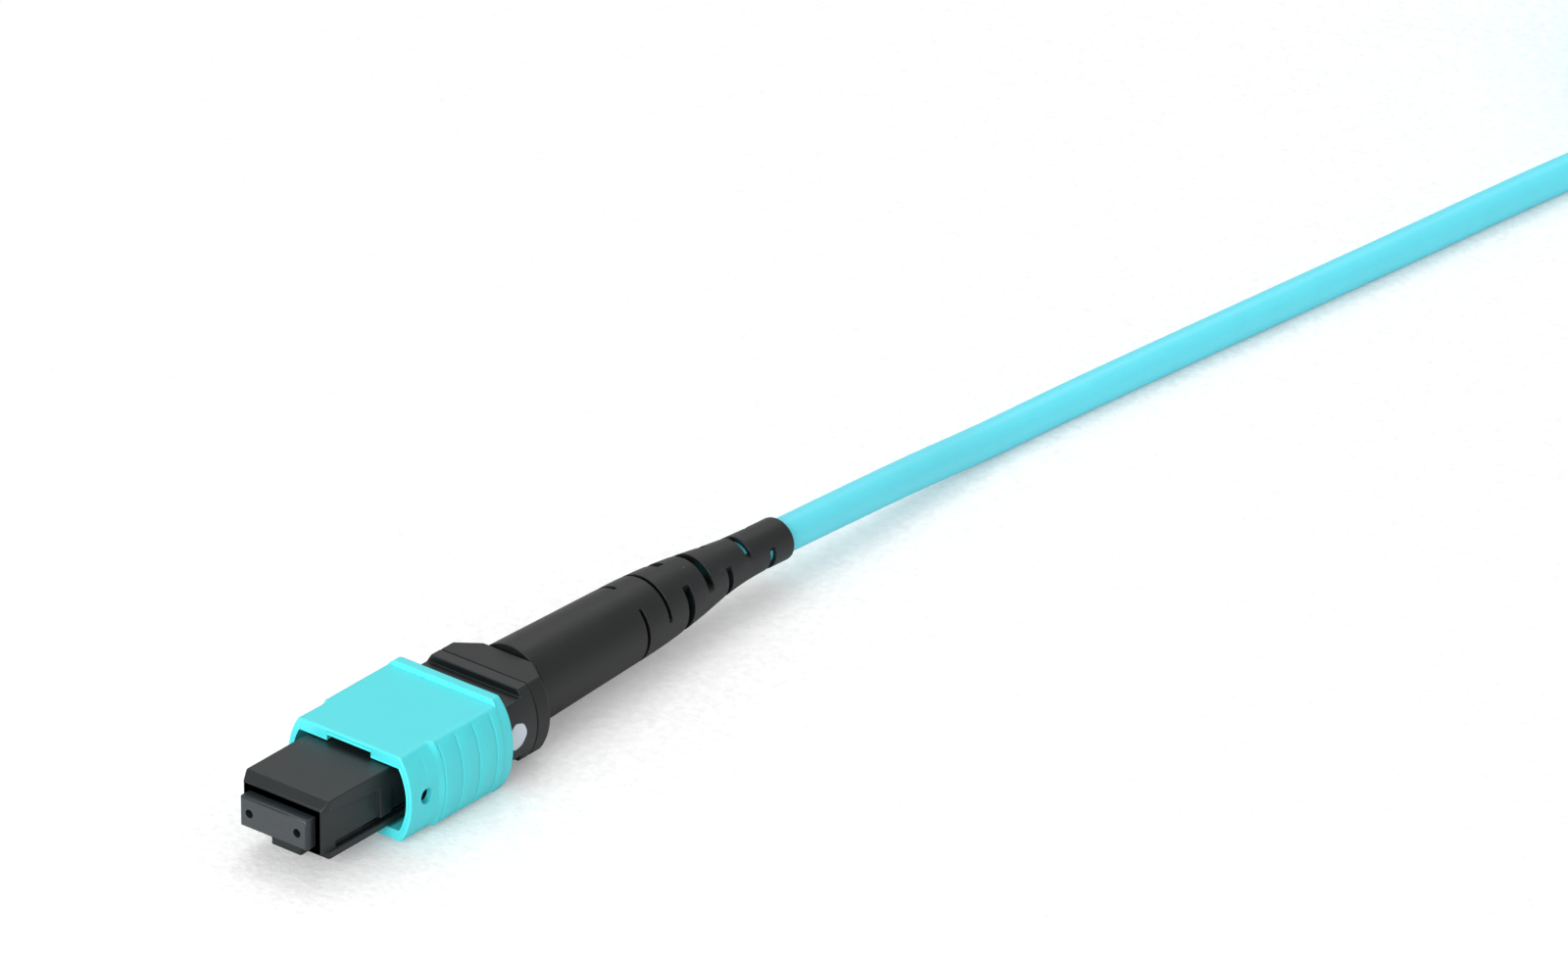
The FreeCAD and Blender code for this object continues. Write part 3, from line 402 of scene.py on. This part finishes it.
# ---------------------------------------------------------------- ties of the hank
# Two straps of black hook-and-loop tape, each drawn round one of the hank's two bunches, so
# that the folded turns stay together. Each strap's end is pressed down on its own back.
BUNCH_HALF_WIDTH = 2.86
BUNCH_BOTTOM = TABLE_TOP / MM + 0.02
BUNCH_TOP = BUNCH_BOTTOM + TIE_LIFT + 4 * ROW + 0.35
TAPE_THICKNESS = 0.34
TAPE_HALF_WIDTH = 3.0
TAPE_SLACK = 0.2
BOXINESS = 5
LAP_START = 0.9
LAP_RISE = 0.12
LAP_END = 2.3
LAP_FALL = 0.5
TIE_PLACES = {"hank_tie_left": (HANK_MIDDLE - HANK_FOLD - ROW / 2, 189.5),
              "hank_tie_right": (HANK_MIDDLE + HANK_FOLD + ROW / 2, 192.0)}


def strap(middle_x, middle_y, rows=13, spokes=160):
    """A closed loop of tape: (place across the width, angle round the bunch). The loop is a
    rounded box, |x/a|^p + |z/b|^p = 1, one thickness further out where the tape laps itself;
    front, back and both edges make one grid."""
    a, b = BUNCH_HALF_WIDTH + TAPE_SLACK, (BUNCH_TOP - BUNCH_BOTTOM) / 2
    height = (BUNCH_TOP + BUNCH_BOTTOM) / 2
    angle = np.linspace(0, 2 * math.pi, spokes, endpoint=False)
    cosine, sine = np.abs(np.cos(angle)), np.abs(np.sin(angle))
    loop = ((cosine / a) ** BOXINESS + (sine / b) ** BOXINESS) ** (-1 / BOXINESS)
    lap = (np.clip((angle - LAP_START) / LAP_RISE, 0, 1)
           * np.clip((LAP_END - angle) / LAP_FALL, 0, 1))
    outer = loop + TAPE_THICKNESS * lap
    inner = loop - TAPE_THICKNESS
    across = np.linspace(-TAPE_HALF_WIDTH, TAPE_HALF_WIDTH, rows)
    fray = 0.05 * np.sin(23 * angle) + 0.03 * np.sin(41 * angle + 1)
    rings = [(outer, y) for y in across] + [(inner, y) for y in across[::-1]]
    radius = np.array([ring for ring, _ in rings])
    place = np.array([y for _, y in rings])[:, None] * (1 + fray[None, :] / TAPE_HALF_WIDTH)
    points = np.stack((middle_x + radius * np.cos(angle), middle_y + place,
                       height + radius * np.sin(angle)), axis=-1)
    return points * MM


def closed_grid(points):
    """Vertices and quads of a grid that closes on itself both ways."""
    rings, spokes = points.shape[:2]
    ring, spoke = np.meshgrid(np.arange(rings), np.arange(spokes), indexing="ij")
    next_ring, next_spoke = (ring + 1) % rings, (spoke + 1) % spokes
    quads = np.stack((ring * spokes + spoke, ring * spokes + next_spoke,
                      next_ring * spokes + next_spoke, next_ring * spokes + spoke), axis=-1)
    return points.reshape(-1, 3), quads.reshape(-1, 4)


def facing_out(piece):
    """Turns a closed mesh's faces outward if its volume comes out negative."""
    work = bmesh.new()
    work.from_mesh(piece.data)
    if work.calc_volume(signed=True) < 0:
        bmesh.ops.reverse_faces(work, faces=work.faces)
    work.to_mesh(piece.data)
    work.free()


def smooth_all(mesh):
    """Shades every face of a mesh smoothly."""
    mesh.polygons.foreach_set("use_smooth", np.ones(len(mesh.polygons), bool))


def closed_piece(name, shape, material):
    """A closed mesh object from (vertices, faces), smooth, facing outward, with its finish."""
    piece = set_mesh(name, *shape)
    smooth_all(piece.data)
    facing_out(piece)
    piece.data.materials.append(material)
    return piece


TAPE = moulded("hook_and_loop_tape", srgb(24, 24, 26), 0.9, grain=0.12, bump=0.9, tone=0.5,
               Sheen_Weight=0.4)
for tie_name, (tie_x, tie_y) in TIE_PLACES.items():
    tie = closed_piece(tie_name, closed_grid(strap(tie_x, tie_y)), TAPE)
    tie.data.set_sharp_from_angle(angle=math.radians(50))
    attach(tie, "housing")

# ---------------------------------------------------------------- bare end of the cable
# The far end is cut square: a tuft of yellow yarn stands out of the jacket round the flat
# ribbon of fibres, ready for a second plug.
YARN_REACH = 5.0
YARN_RING = 1.02
YARN_RADIUS = 0.11
YARN_STRANDS = 14
RIBBON_HALF = 0.93
RIBBON_REACH = 7.0
RIBBON_THICK = 0.16
RIBBON_FIBRES = 12
END_DEPTH = 0.6

end_point = Vector(route[-1])
end_way = (Vector(route[-1]) - Vector(route[-2])).normalized()
end_side = end_way.cross(Vector((0, 0, 1))).normalized()
end_up = end_side.cross(end_way)


def end_frame(points):
    """Points given as (across, up, out of the cut) set at the cable's end."""
    axes = np.array((end_side, end_up, end_way))
    return points @ axes * MM + np.array(end_point)


def capped(grid, ends):
    """Vertices and faces of a tube: a grid of (row, spoke) points that closes on itself round
    its spokes, and a fan at either end to one of two end points."""
    rows, spokes = grid.shape[:2]
    row, turn = np.meshgrid(np.arange(rows - 1), np.arange(spokes), indexing="ij")
    after = (turn + 1) % spokes
    quads = np.stack((row * spokes + turn, row * spokes + after, (row + 1) * spokes + after,
                      (row + 1) * spokes + turn), axis=-1).reshape(-1, 4)
    turn, after = turn[0], after[0]
    near = np.column_stack((np.full(spokes, rows * spokes), after, turn))
    far = np.column_stack((np.full(spokes, rows * spokes + 1), (rows - 1) * spokes + turn,
                           (rows - 1) * spokes + after))
    return np.vstack((grid.reshape(-1, 3), ends)), [*quads, *near, *far]


def tube_along(path, radius, spokes=10):
    """A round tube: a ring of points square to each step of a path, with fans at its ends."""
    step = np.gradient(path, axis=0)
    step /= np.linalg.norm(step, axis=1)[:, None]
    across = np.cross(step, (0.0, 1.0, 0.3))
    across /= np.linalg.norm(across, axis=1)[:, None]
    over = np.cross(step, across)
    angle = np.arange(spokes) * 2 * math.pi / spokes
    ring = (path[:, None] + radius * (across[:, None] * np.cos(angle)[None, :, None]
                                      + over[:, None] * np.sin(angle)[None, :, None]))
    return capped(ring, path[[0, -1]])


def yarn_tuft():
    """Strands set evenly round a ring inside the jacket. Along each, t from 0 to 1, the ring
    opens by 0.7 t^2, turns by 0.3 t and sags by 0.25 t^2, over a length that varies a little."""
    vertices, faces, count = [], [], 0
    for strand in range(YARN_STRANDS):
        angle = strand * 2 * math.pi / YARN_STRANDS
        reach = YARN_REACH * (0.8 + 0.2 * math.sin(5 * angle + 1))
        share = np.linspace(0, 1, 12)
        flare = YARN_RING + 0.7 * share ** 2
        path = np.column_stack((flare * np.cos(angle + 0.3 * share),
                                flare * np.sin(angle + 0.3 * share) - 0.25 * share ** 2,
                                -END_DEPTH + share * reach))
        points, strand_faces = tube_along(end_frame(path), YARN_RADIUS * MM)
        vertices.append(points)
        faces += [tuple(np.asarray(face) + count) for face in strand_faces]
        count += len(points)
    return np.vstack(vertices), faces


def ribbon_stub(rows=14, spokes=48):
    """The flat ribbon: a grid of (place along, angle) round a box with twelve low crowns, one
    for each fibre, that bends down by 0.5 t^2 toward its end."""
    share = np.linspace(0, 1, rows)[:, None]
    angle = (np.arange(spokes) * 2 * math.pi / spokes)[None, :]
    across = np.sign(np.cos(angle)) * np.abs(np.cos(angle)) ** 0.5
    crown = 1 + 0.12 * np.cos(RIBBON_FIBRES * math.pi * across)
    over = RIBBON_THICK * crown * np.sign(np.sin(angle)) * np.abs(np.sin(angle)) ** 0.4
    grid = np.stack((RIBBON_HALF * across + 0 * share, over - 0.5 * share ** 2,
                     RIBBON_REACH * share - END_DEPTH + 0 * angle), axis=-1)
    middle = np.array(((0, 0, -END_DEPTH), (0, -0.5, RIBBON_REACH - END_DEPTH)))
    return capped(end_frame(grid), end_frame(middle))


YARN = moulded("aramid_yarn", srgb(226, 196, 96), 0.65, grain=0.08, bump=0.7, tone=0.3)
RIBBON_COAT = moulded("ribbon_coat", srgb(196, 206, 204), 0.25, grain=0.12, bump=0.2)
for end_name, shape, finish, end_slot in (
        ("yarn_tuft", yarn_tuft, YARN, "yarn_yellow"),
        ("ribbon_stub", ribbon_stub, RIBBON_COAT, "ribbon_matrix")):
    end_piece = closed_piece(end_name, shape(), finish)
    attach(end_piece, "housing")


# ---------------------------------------------------------------- ferrule
# A moulded block of filled resin with a lapped end face, two guide bores and a row of
# fibres. It floats in the housing's mouth. Its two greys are painted light and shade: the
# lapped end face, which faces the front lamp, has a lighter grey that is painted light as well
# as its real polish, and the rest of the block a darker grey of painted shade from the mouth.
LAPPED_DEPTH = 0.02 * MM


def dressed(node, name, body, material, round_edge=0.08, segments=3, angle=34.0,
            shape=None, shortest=0.0):
    """A copy of a solid with its seams merged, its flat faces made whole, and its edges rounded
    where they turn by more than an angle and are long enough. An optional function moves its
    points first."""
    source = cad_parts[node]
    mesh = bpy.data.meshes.new(name)
    work = bmesh.new()
    work.from_mesh(source.data)
    bmesh.ops.remove_doubles(work, verts=work.verts, dist=0.002 * MM)
    bmesh.ops.dissolve_limit(work, angle_limit=math.radians(0.4), verts=work.verts,
                             edges=work.edges)
    corner = work.edges.layers.float.new("bevel_weight_edge")
    for edge in work.edges:
        crease = edge.calc_face_angle(0.0)
        edge[corner] = float(crease > math.radians(angle) and edge.calc_length() > shortest * MM)
        edge.smooth = crease < math.radians(angle)
    for face in work.faces:
        face.smooth = True
        face.material_index = 0
    work.to_mesh(mesh)
    work.free()
    piece = bpy.data.objects.new(name, mesh)
    bpy.context.scene.collection.objects.link(piece)
    mesh.materials.append(material)
    if shape is not None:
        points = np.empty(len(mesh.vertices) * 3)
        mesh.vertices.foreach_get("co", points)
        mesh.vertices.foreach_set("co", shape(points.reshape(-1, 3)).ravel())
    soften = piece.modifiers.new("round_edges", "BEVEL")
    soften.width = round_edge * MM
    soften.segments = segments
    soften.limit_method = "WEIGHT"
    soften.use_clamp_overlap = False
    even = piece.modifiers.new("even_shading", "WEIGHTED_NORMAL")
    even.keep_sharp = True
    even.weight = 90
    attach(piece, body)
    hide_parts(node)
    return piece


# Painted shade: the block's darker grey. Painted light: the lighter grey of its end face.
FERRULE_RESIN_PAINTED_SHADE = moulded("ferrule_resin", srgb(37, 45, 49), 0.25, grain=0.06, bump=0.08, tone=0.3)
END_FACE_PAINTED_LIGHT = moulded("end_face_painted_light", srgb(57, 62, 65), 0.42, grain=0.03, bump=0.12, tone=0.15)
ferrule = dressed("ferrule", "ferrule_block", "ferrule", FERRULE_RESIN_PAINTED_SHADE, 0.08, 3,
                  shortest=0.9)
ferrule.data.materials.append(END_FACE_PAINTED_LIGHT)
face_place = np.empty(len(ferrule.data.polygons) * 3)
face_way = np.empty(len(ferrule.data.polygons) * 3)
ferrule.data.polygons.foreach_get("center", face_place)
ferrule.data.polygons.foreach_get("normal", face_way)
# Front-facing end faces take the lighter grey of painted light; all others the painted shade.
lit_end_faces = (face_place[1::3] < LAPPED_DEPTH) & (face_way[1::3] < -0.9)
ferrule.data.polygons.foreach_set("material_index", lit_end_faces.astype(int))

# ---------------------------------------------------------------- fibre ribbon and its boot
# Twelve glass fibres in a flat ribbon, glued into the ferrule's bores and lapped flush with
# its end face. A small rubber boot in the ferrule's rear keeps them straight.
POLISHED_FIBRES = moulded("polished_fibres", srgb(64, 69, 73), 0.4, grain=0.25)
RIBBON_BOOT_RUBBER = moulded("ribbon_boot_rubber", srgb(90, 90, 92), 0.6)


def finish_node(node, material):
    """Gives a solid that stays as it is its finish."""
    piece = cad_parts[node]
    piece.data.materials.clear()
    piece.data.materials.append(material)


def held_between(name, node, material, smooth=True):
    """A merged copy of a CAD solid, shaded smooth or flat, with sharp edges where faces turn by
    more than 40 degrees, and its finish. It stays where the solid stands; the solid is hidden."""
    work = bmesh.new()
    work.from_mesh(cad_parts[node].data)
    bmesh.ops.remove_doubles(work, verts=work.verts, dist=1e-6)
    for face in work.faces:
        face.smooth = smooth
    mesh = bpy.data.meshes.new(name)
    work.to_mesh(mesh)
    work.free()
    mesh.set_sharp_from_angle(angle=math.radians(40))
    mesh.materials.append(material)
    for face in mesh.polygons:
        face.material_index = 0
    piece = bpy.data.objects.new(name, mesh)
    bpy.context.scene.collection.objects.link(piece)
    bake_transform(piece)
    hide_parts(node)


held_between("twelve_fibre_ribbon", "fibre_ribbon",
             POLISHED_FIBRES, smooth=False)
finish_node("ribbon_boot", RIBBON_BOOT_RUBBER)

# ---------------------------------------------------------------- spacer and springs
# Bright stamped and drawn steel: a keeper behind the ferrule, the oval spring that pushes
# it, and a small spring in a channel on each side that returns the sleeve.
STEEL = moulded("bright_steel", (0.62, 0.61, 0.59), 0.28, grain=0.12, bump=0.1, Metallic=1.0)
finish_node("spacer", STEEL)
held_between("main_coil", "main_spring", STEEL)
for side in ("left", "right"):
    held_between("return_coil_" + side, "return_spring_" + side, STEEL)

# ---------------------------------------------------------------- inner housing
# A dark grey moulding with a matt eroded skin. The ferrule floats in its square mouth; its
# key stands below, and the adapter's hooks catch in a latch groove on each side.
HOUSING_SKIN = moulded("housing_skin", srgb(23, 29, 31), 0.46, grain=0.06, bump=0.35,
                       tone=0.2, specks=0.08)
dressed("inner_housing", "keyed_housing", "housing", HOUSING_SKIN, 0.1,
        angle=15.0)

# ---------------------------------------------------------------- index dot
# A dab of white paint on the round side of the housing's collar. It marks the first fibre's
# side, and the sleeve's rear rim hides a little of it.
COLLAR_ROUND = 5.11
COLLAR_MIDDLE = 0.08
DOT_PLACE = (21.72, -0.17)
DOT_REACH = 1.12
DOT_NARROWING = 0.86
DOT_BACK = 0.25
PAINT_THICKNESS = 0.03
RIM_TUCK = 0.01


def paint_dab(rings=14, spokes=72):
    """A disc grid of (share of radius, angle) laid on the collar's cylinder: each point's X is
    the cylinder's at its height, plus a thickness that falls to nothing at a wavy rim. A fan to
    a point inside the collar closes it behind."""
    share, angle = np.meshgrid(np.linspace(0, 1, rings), np.arange(spokes) * 2 * math.pi / spokes,
                               indexing="ij")
    wave = 1 + 0.035 * np.sin(3 * angle + 0.6) + 0.02 * np.sin(7 * angle + 2.0)
    across = DOT_PLACE[0] + DOT_REACH * DOT_NARROWING * share * wave * np.cos(angle)
    height = DOT_PLACE[1] + DOT_REACH * share * wave * np.sin(angle)
    proud = PAINT_THICKNESS * np.sqrt(np.clip(1 - share ** 6, 0, 1)) - RIM_TUCK * (share == 1)
    out = COLLAR_MIDDLE + np.sqrt(COLLAR_ROUND ** 2 - height ** 2) + proud
    grid = np.stack((out, across, height), axis=-1) * MM
    behind = np.array([(COLLAR_MIDDLE + COLLAR_ROUND - DOT_BACK, *DOT_PLACE)]) * MM
    vertices = np.vstack((grid[0, :1], grid[1:].reshape(-1, 3), behind))
    turn = np.arange(spokes)
    after = (turn + 1) % spokes
    inner = 1 + np.arange(rings - 2)[:, None] * spokes
    quads = np.stack((inner + turn, inner + spokes + turn, inner + spokes + after, inner + after),
                     axis=-1).reshape(-1, 4)
    fan = np.column_stack((np.zeros(spokes, int), 1 + turn, 1 + after))
    rim = 1 + (rings - 2) * spokes
    back_fan = np.column_stack((np.full(spokes, len(vertices) - 1), rim + after, rim + turn))
    return vertices, [*fan, *quads, *back_fan]


DOT_PAINT = moulded("dot_paint", srgb(222, 230, 240), 0.45, grain=0.12, bump=0.4, tone=0.05)
dot = closed_piece("index_dot", paint_dab(), DOT_PAINT)
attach(dot, "housing")

# ---------------------------------------------------------------- coupling sleeve
# The aqua sleeve that is pulled back to let go of the adapter: one moulding with a slimmer
# nose, finger grooves on its round sides, a ridge across its rear, a keyway in front above
# and below, and a small hole in each side. Its rims and shoulders are softly rounded.
SLEEVE_FRONT, SLEEVE_REAR = (corner[1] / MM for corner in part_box("coupling_sleeve"))
SLEEVE_TOP = 3.54
GRIP_START = 12.35
GRIP_SIDE = (5.5, 3.1, 6.15)
NOSE_HALF, NOSE_TAPER = 4.92, 0.1
NOSE_REACH, NOSE_WIDENING = 5.97, 0.05
NOSE_BULGE, BULGE_HEIGHT = 0.2, 4.6
# Two flat cuts between top and side, one along the grip and one along the ridge: how far out
# they lie, the way they face (across, up), and how much further out they move where they end.
SLOPE_OUT, SLOPE_WAY = 6.288, (0.826, 0.563)
SHOULDER_OUT, SHOULDER_WAY = 6.149, (0.689, 0.725)
CLEAR_OF_SKIN = 0.6
EDGE_BLEND = 0.3
SHOULDER_BLEND = 0.16
GROOVE_PITCH = 1.95
GROOVE_DEPTH = 0.06
GROOVE_HALF = 0.13
BAND_CROWN = 0.05
NOSE_LINE = 10.43
NOSE_LINE_DEPTH = 0.022
RIDGE_START = 19.16
RIDGE_RISE = 0.38
SIDE_HOLE_PLACE = 10.32
SIDE_HOLE_RADIUS = 0.625
HOLE_LIP = 0.035
FRONT_ROUND = 0.17
REAR_ROUND = 0.2
INNER_ROUND = 0.1
SLEEVE_INSIDE = (4.78, 2.61, 5.49)
KEYWAY_HALF, KEYWAY_TOP, KEYWAY_END = 2.11, 3.06, 14.57
# The grid's columns in a quarter turn, closer where the skin turns quickly: from and to in
# degrees, and how many. The rows of the inner wall close up at the keyway's end.
COLUMNS = ((0, 12, 16), (12, 28, 14), (28, 42, 32), (42, 50, 8), (50, 57, 18), (57, 90, 22))
INNER_ROWS = (19.0, 17.0, 15.4, 14.62, 14.58, 14.56, 14.52, 13.5, 12.0, 10.4, 9.4)


def softer(first, second, width):
    """The smaller of two distances, with a round blend of the given width where they meet."""
    share = np.clip(0.5 + 0.5 * (second - first) / width, 0, 1)
    return second * (1 - share) + first * share - width * share * (1 - share)


def round_side(cosine, sine, half, rise, reach):
    """Distance from the middle to a side arc through (half, rise) and (reach, 0)."""
    bulge = reach - half
    arc = (rise ** 2 + bulge ** 2) / (2 * bulge)
    middle = reach - arc
    return middle * cosine + np.sqrt(arc ** 2 - (middle * sine) ** 2)


def skin(angle, y):
    """Distance from the sleeve's middle line to its outer skin: the nearest of the flat top, the
    shoulder's slope and the side's arc, blended; the nose's section eases into the grip's."""
    cosine, sine = np.abs(np.cos(angle)), np.abs(np.sin(angle))
    grip = eased(y, GRIP_START - 0.78, GRIP_START + 0.02)
    ridge = eased(y, RIDGE_START - 0.1, RIDGE_START + 0.08)
    top = (SLEEVE_TOP + RIDGE_RISE * ridge) / np.maximum(sine, 1e-6)
    along = (y - SLEEVE_FRONT) / (GRIP_START - SLEEVE_FRONT)
    half = NOSE_HALF - NOSE_TAPER * along
    reach = NOSE_REACH + NOSE_WIDENING * along
    rise = np.clip(np.tan(np.abs(np.arctan2(sine, cosine))) * reach, 0, 50)
    bulge = NOSE_BULGE * along * np.sin(math.pi * np.clip(rise / BULGE_HEIGHT, 0, 1)) ** 2
    nose_side = round_side(cosine, sine, half, SLEEVE_TOP, reach) + bulge
    side = nose_side * (1 - grip) + round_side(cosine, sine, *GRIP_SIDE) * grip
    slope = ((SLOPE_OUT + CLEAR_OF_SKIN * (1 - grip))
             / (SLOPE_WAY[0] * cosine + SLOPE_WAY[1] * sine))
    shoulder = ((SHOULDER_OUT + CLEAR_OF_SKIN * (1 - ridge))
                / (SHOULDER_WAY[0] * cosine + SHOULDER_WAY[1] * sine))
    out = softer(softer(side, slope, EDGE_BLEND), softer(top, shoulder, SHOULDER_BLEND),
                 EDGE_BLEND)
    band = np.mod(y - GRIP_START, GROOVE_PITCH)
    near = np.minimum(band, GROOVE_PITCH - band)
    crown = BAND_CROWN * (1 - (2 * band / GROOVE_PITCH - 1) ** 2)
    groove = -GROOVE_DEPTH * np.exp(-(near / (GROOVE_HALF * 0.5)) ** 2)
    nose_line = (-NOSE_LINE_DEPTH * np.exp(-((y - NOSE_LINE) / 0.05) ** 2)
                 * eased(np.abs(out * sine), 0.95, 1.3))
    on_side = 1 - eased(out * sine, SLEEVE_TOP - 0.5, SLEEVE_TOP - 0.02)
    on_grip = (eased(y, GRIP_START - 0.12, GRIP_START)
               * (1 - eased(y, RIDGE_START - 0.3, RIDGE_START)))
    from_hole = np.hypot(y - SIDE_HOLE_PLACE, out * sine)
    lip = HOLE_LIP * np.exp(-((from_hole - SIDE_HOLE_RADIUS - 0.08) / 0.07) ** 2)
    return out + on_side * ((crown + groove) * on_grip + nose_line + lip)


def hollow(angle, y):
    """Distance to the inner wall: the round-sided way, joined in front by the keyway's block."""
    half, rise, reach = SLEEVE_INSIDE
    cosine, sine = np.abs(np.cos(angle)), np.abs(np.sin(angle))
    way = softer(rise / np.maximum(sine, 1e-6), round_side(cosine, sine, half, rise, reach), 0.1)
    key = np.minimum(KEYWAY_HALF / np.maximum(cosine, 1e-6), KEYWAY_TOP / np.maximum(sine, 1e-6))
    return np.where(y < KEYWAY_END, np.maximum(way, key), way)


def sleeve_grid():
    """A closed grid of (profile place, angle): out along the skin, round the rear rim, back
    along the inner wall and round the front rim. Rim points lie a set depth below either wall."""
    quarter = np.concatenate([[0]] + [np.linspace(*columns)[1:] for columns in COLUMNS])
    quarter = np.radians(quarter)
    angle = np.concatenate((quarter, math.pi - quarter[-2::-1], math.pi + quarter[1:],
                            2 * math.pi - quarter[-2:0:-1]))
    bend = np.linspace(0, math.pi / 2, 7)
    grooves = GRIP_START + GROOVE_PITCH * np.arange(4)[:, None] + np.linspace(-0.2, 0.2, 11)
    rows = np.concatenate((np.arange(SLEEVE_FRONT + FRONT_ROUND, GRIP_START, 0.11),
                           np.linspace(GRIP_START - 0.8, GRIP_START, 18), grooves.ravel(),
                           NOSE_LINE + np.linspace(-0.12, 0.12, 7),
                           np.arange(GRIP_START, SLEEVE_REAR - REAR_ROUND, 0.3),
                           RIDGE_START + np.linspace(-0.16, 0.14, 11),
                           [SLEEVE_REAR - REAR_ROUND]))
    rows = np.unique(rows.round(3))
    rows = rows[np.concatenate(([True], np.diff(rows) > 0.018))]
    front = FRONT_ROUND * (1 - np.sin(bend[::-1]))
    front_in = FRONT_ROUND * (1 - np.cos(bend[::-1]))
    rear = REAR_ROUND * np.sin(bend)
    rear_in = REAR_ROUND * (1 - np.cos(bend))
    out_y = np.concatenate((SLEEVE_FRONT + front, rows[1:-1], SLEEVE_REAR - REAR_ROUND + rear))
    out_in = np.concatenate((front_in, np.zeros(len(rows) - 2), rear_in))
    in_y = np.concatenate((SLEEVE_REAR - INNER_ROUND * (1 - np.sin(bend)), INNER_ROWS,
                           SLEEVE_FRONT + INNER_ROUND * (1 - np.sin(bend[::-1]))))
    in_out = np.concatenate((INNER_ROUND * (1 - np.cos(bend[::-1])), np.zeros(len(INNER_ROWS)),
                             INNER_ROUND * (1 - np.cos(bend))))
    turn = angle[None, :]
    outer = skin(turn, out_y[:, None]) - out_in[:, None]
    inner = hollow(turn, in_y[:, None]) + in_out[:, None]
    radius = np.vstack((outer, inner))
    place = np.concatenate((out_y, in_y))[:, None] + 0 * turn
    return np.stack((radius * np.cos(turn), place, radius * np.sin(turn)), axis=-1) * MM


SLEEVE_SKIN = moulded("sleeve_skin", srgb(80, 226, 233), 0.4, grain=0.05, bump=0.3)
sleeve = set_mesh("pull_sleeve", *closed_grid(sleeve_grid()))
facing_out(sleeve)
punch = bmesh.new()
bmesh.ops.create_cone(punch, cap_ends=True, segments=40, radius1=SIDE_HOLE_RADIUS * MM,
                      radius2=SIDE_HOLE_RADIUS * MM, depth=16 * MM,
                      matrix=Matrix.Translation((0, SIDE_HOLE_PLACE * MM, 0))
                      @ Matrix.Rotation(math.pi / 2, 4, "Y"))
punch_mesh = bpy.data.meshes.new("side_hole_punch")
punch.to_mesh(punch_mesh)
punch.free()
punch_piece = bpy.data.objects.new("side_hole_punch", punch_mesh)
bpy.context.scene.collection.objects.link(punch_piece)
drilled = sleeve.modifiers.new("side_holes", "BOOLEAN")
drilled.operation = "DIFFERENCE"
drilled.solver = "EXACT"
drilled.object = punch_piece
punched = bpy.data.meshes.new_from_object(
    sleeve.evaluated_get(bpy.context.evaluated_depsgraph_get()))
sleeve.modifiers.clear()
sleeve.data = punched
bpy.data.objects.remove(punch_piece)
smooth_all(punched)
punched.set_sharp_from_angle(angle=math.radians(50))
punched.materials.clear()
punched.materials.append(SLEEVE_SKIN)
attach(sleeve, "sleeve")
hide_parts("coupling_sleeve")

# ---------------------------------------------------------------- rear body, yarn and crimp
# A black moulding that snaps into the housing's rear and closes it. The cable's yellow yarn is
# folded over its post, and a nickel-plated ring crimped over the yarn holds the cable's pull.
REAR_SKIN = moulded("rear_skin", srgb(16, 18, 19), 0.5, grain=0.05, bump=0.35, specks=0.05)
dressed("rear_body", "rear_closure", "housing", REAR_SKIN, 0.1)
finish_node("aramid_yarn", YARN)
NICKEL = moulded("nickel_ring", (0.60, 0.57, 0.50), 0.3, grain=0.2, bump=0.1, Metallic=1.0)
finish_node("crimp_ring", NICKEL)

# ---------------------------------------------------------------- strain relief boot
# Matt black rubber pushed over the crimp ring. Pairs of slots, turned a quarter from ring to
# ring, let it bend, and its tail sags a little with the cable.
SAG_START = 48.5
SAG_RATE = 0.0039


def sag(place):
    """How far the tail hangs, in millimetres: a rate times the square of the distance past the
    sag's start."""
    return SAG_RATE * np.clip(place - SAG_START, 0, None) ** 2


def sagging(points):
    """Points lowered by the sag at their place."""
    lowered = points.copy()
    lowered[:, 2] -= sag(points[:, 1] / MM) * MM
    return lowered


BOOT_RUBBER = moulded("boot_rubber", srgb(14, 16, 18), 0.46, grain=0.09, bump=0.4, tone=0.5,
                      specks=0.10)
dressed("strain_relief_boot", "slotted_boot", "housing", BOOT_RUBBER, 0.05, 2,
        shape=sagging)

# ---------------------------------------------------------------- jacket inside the boot
# The first stretch of the cable's aqua jacket, which shows through the boot's slots. It runs
# loose in the bore and sags as the boot does.


def jacket_in_boot(rows=28, spokes=40):
    """A round tube along the boot: (row, angle) at one radius round a middle line that sags as
    the boot does. Its two ends are closed by a fan."""
    radius = CABLE_DIAMETER / 2 / MM
    place = np.linspace(*(corner[1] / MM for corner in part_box("cable_entry")), rows)
    drop = sag(place)
    angle = np.arange(spokes) * 2 * math.pi / spokes
    grid = np.stack((radius * np.cos(angle)[None, :] + 0 * place[:, None],
                     place[:, None] + 0 * angle[None, :],
                     radius * np.sin(angle)[None, :] - drop[:, None]), axis=-1)
    middle = np.array([(0, place[0], -drop[0]), (0, place[-1], -drop[-1])])
    return capped(grid * MM, middle * MM)


entry = closed_piece("jacket_in_boot", jacket_in_boot(), JACKET)
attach(entry, "housing")
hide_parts("cable_entry")
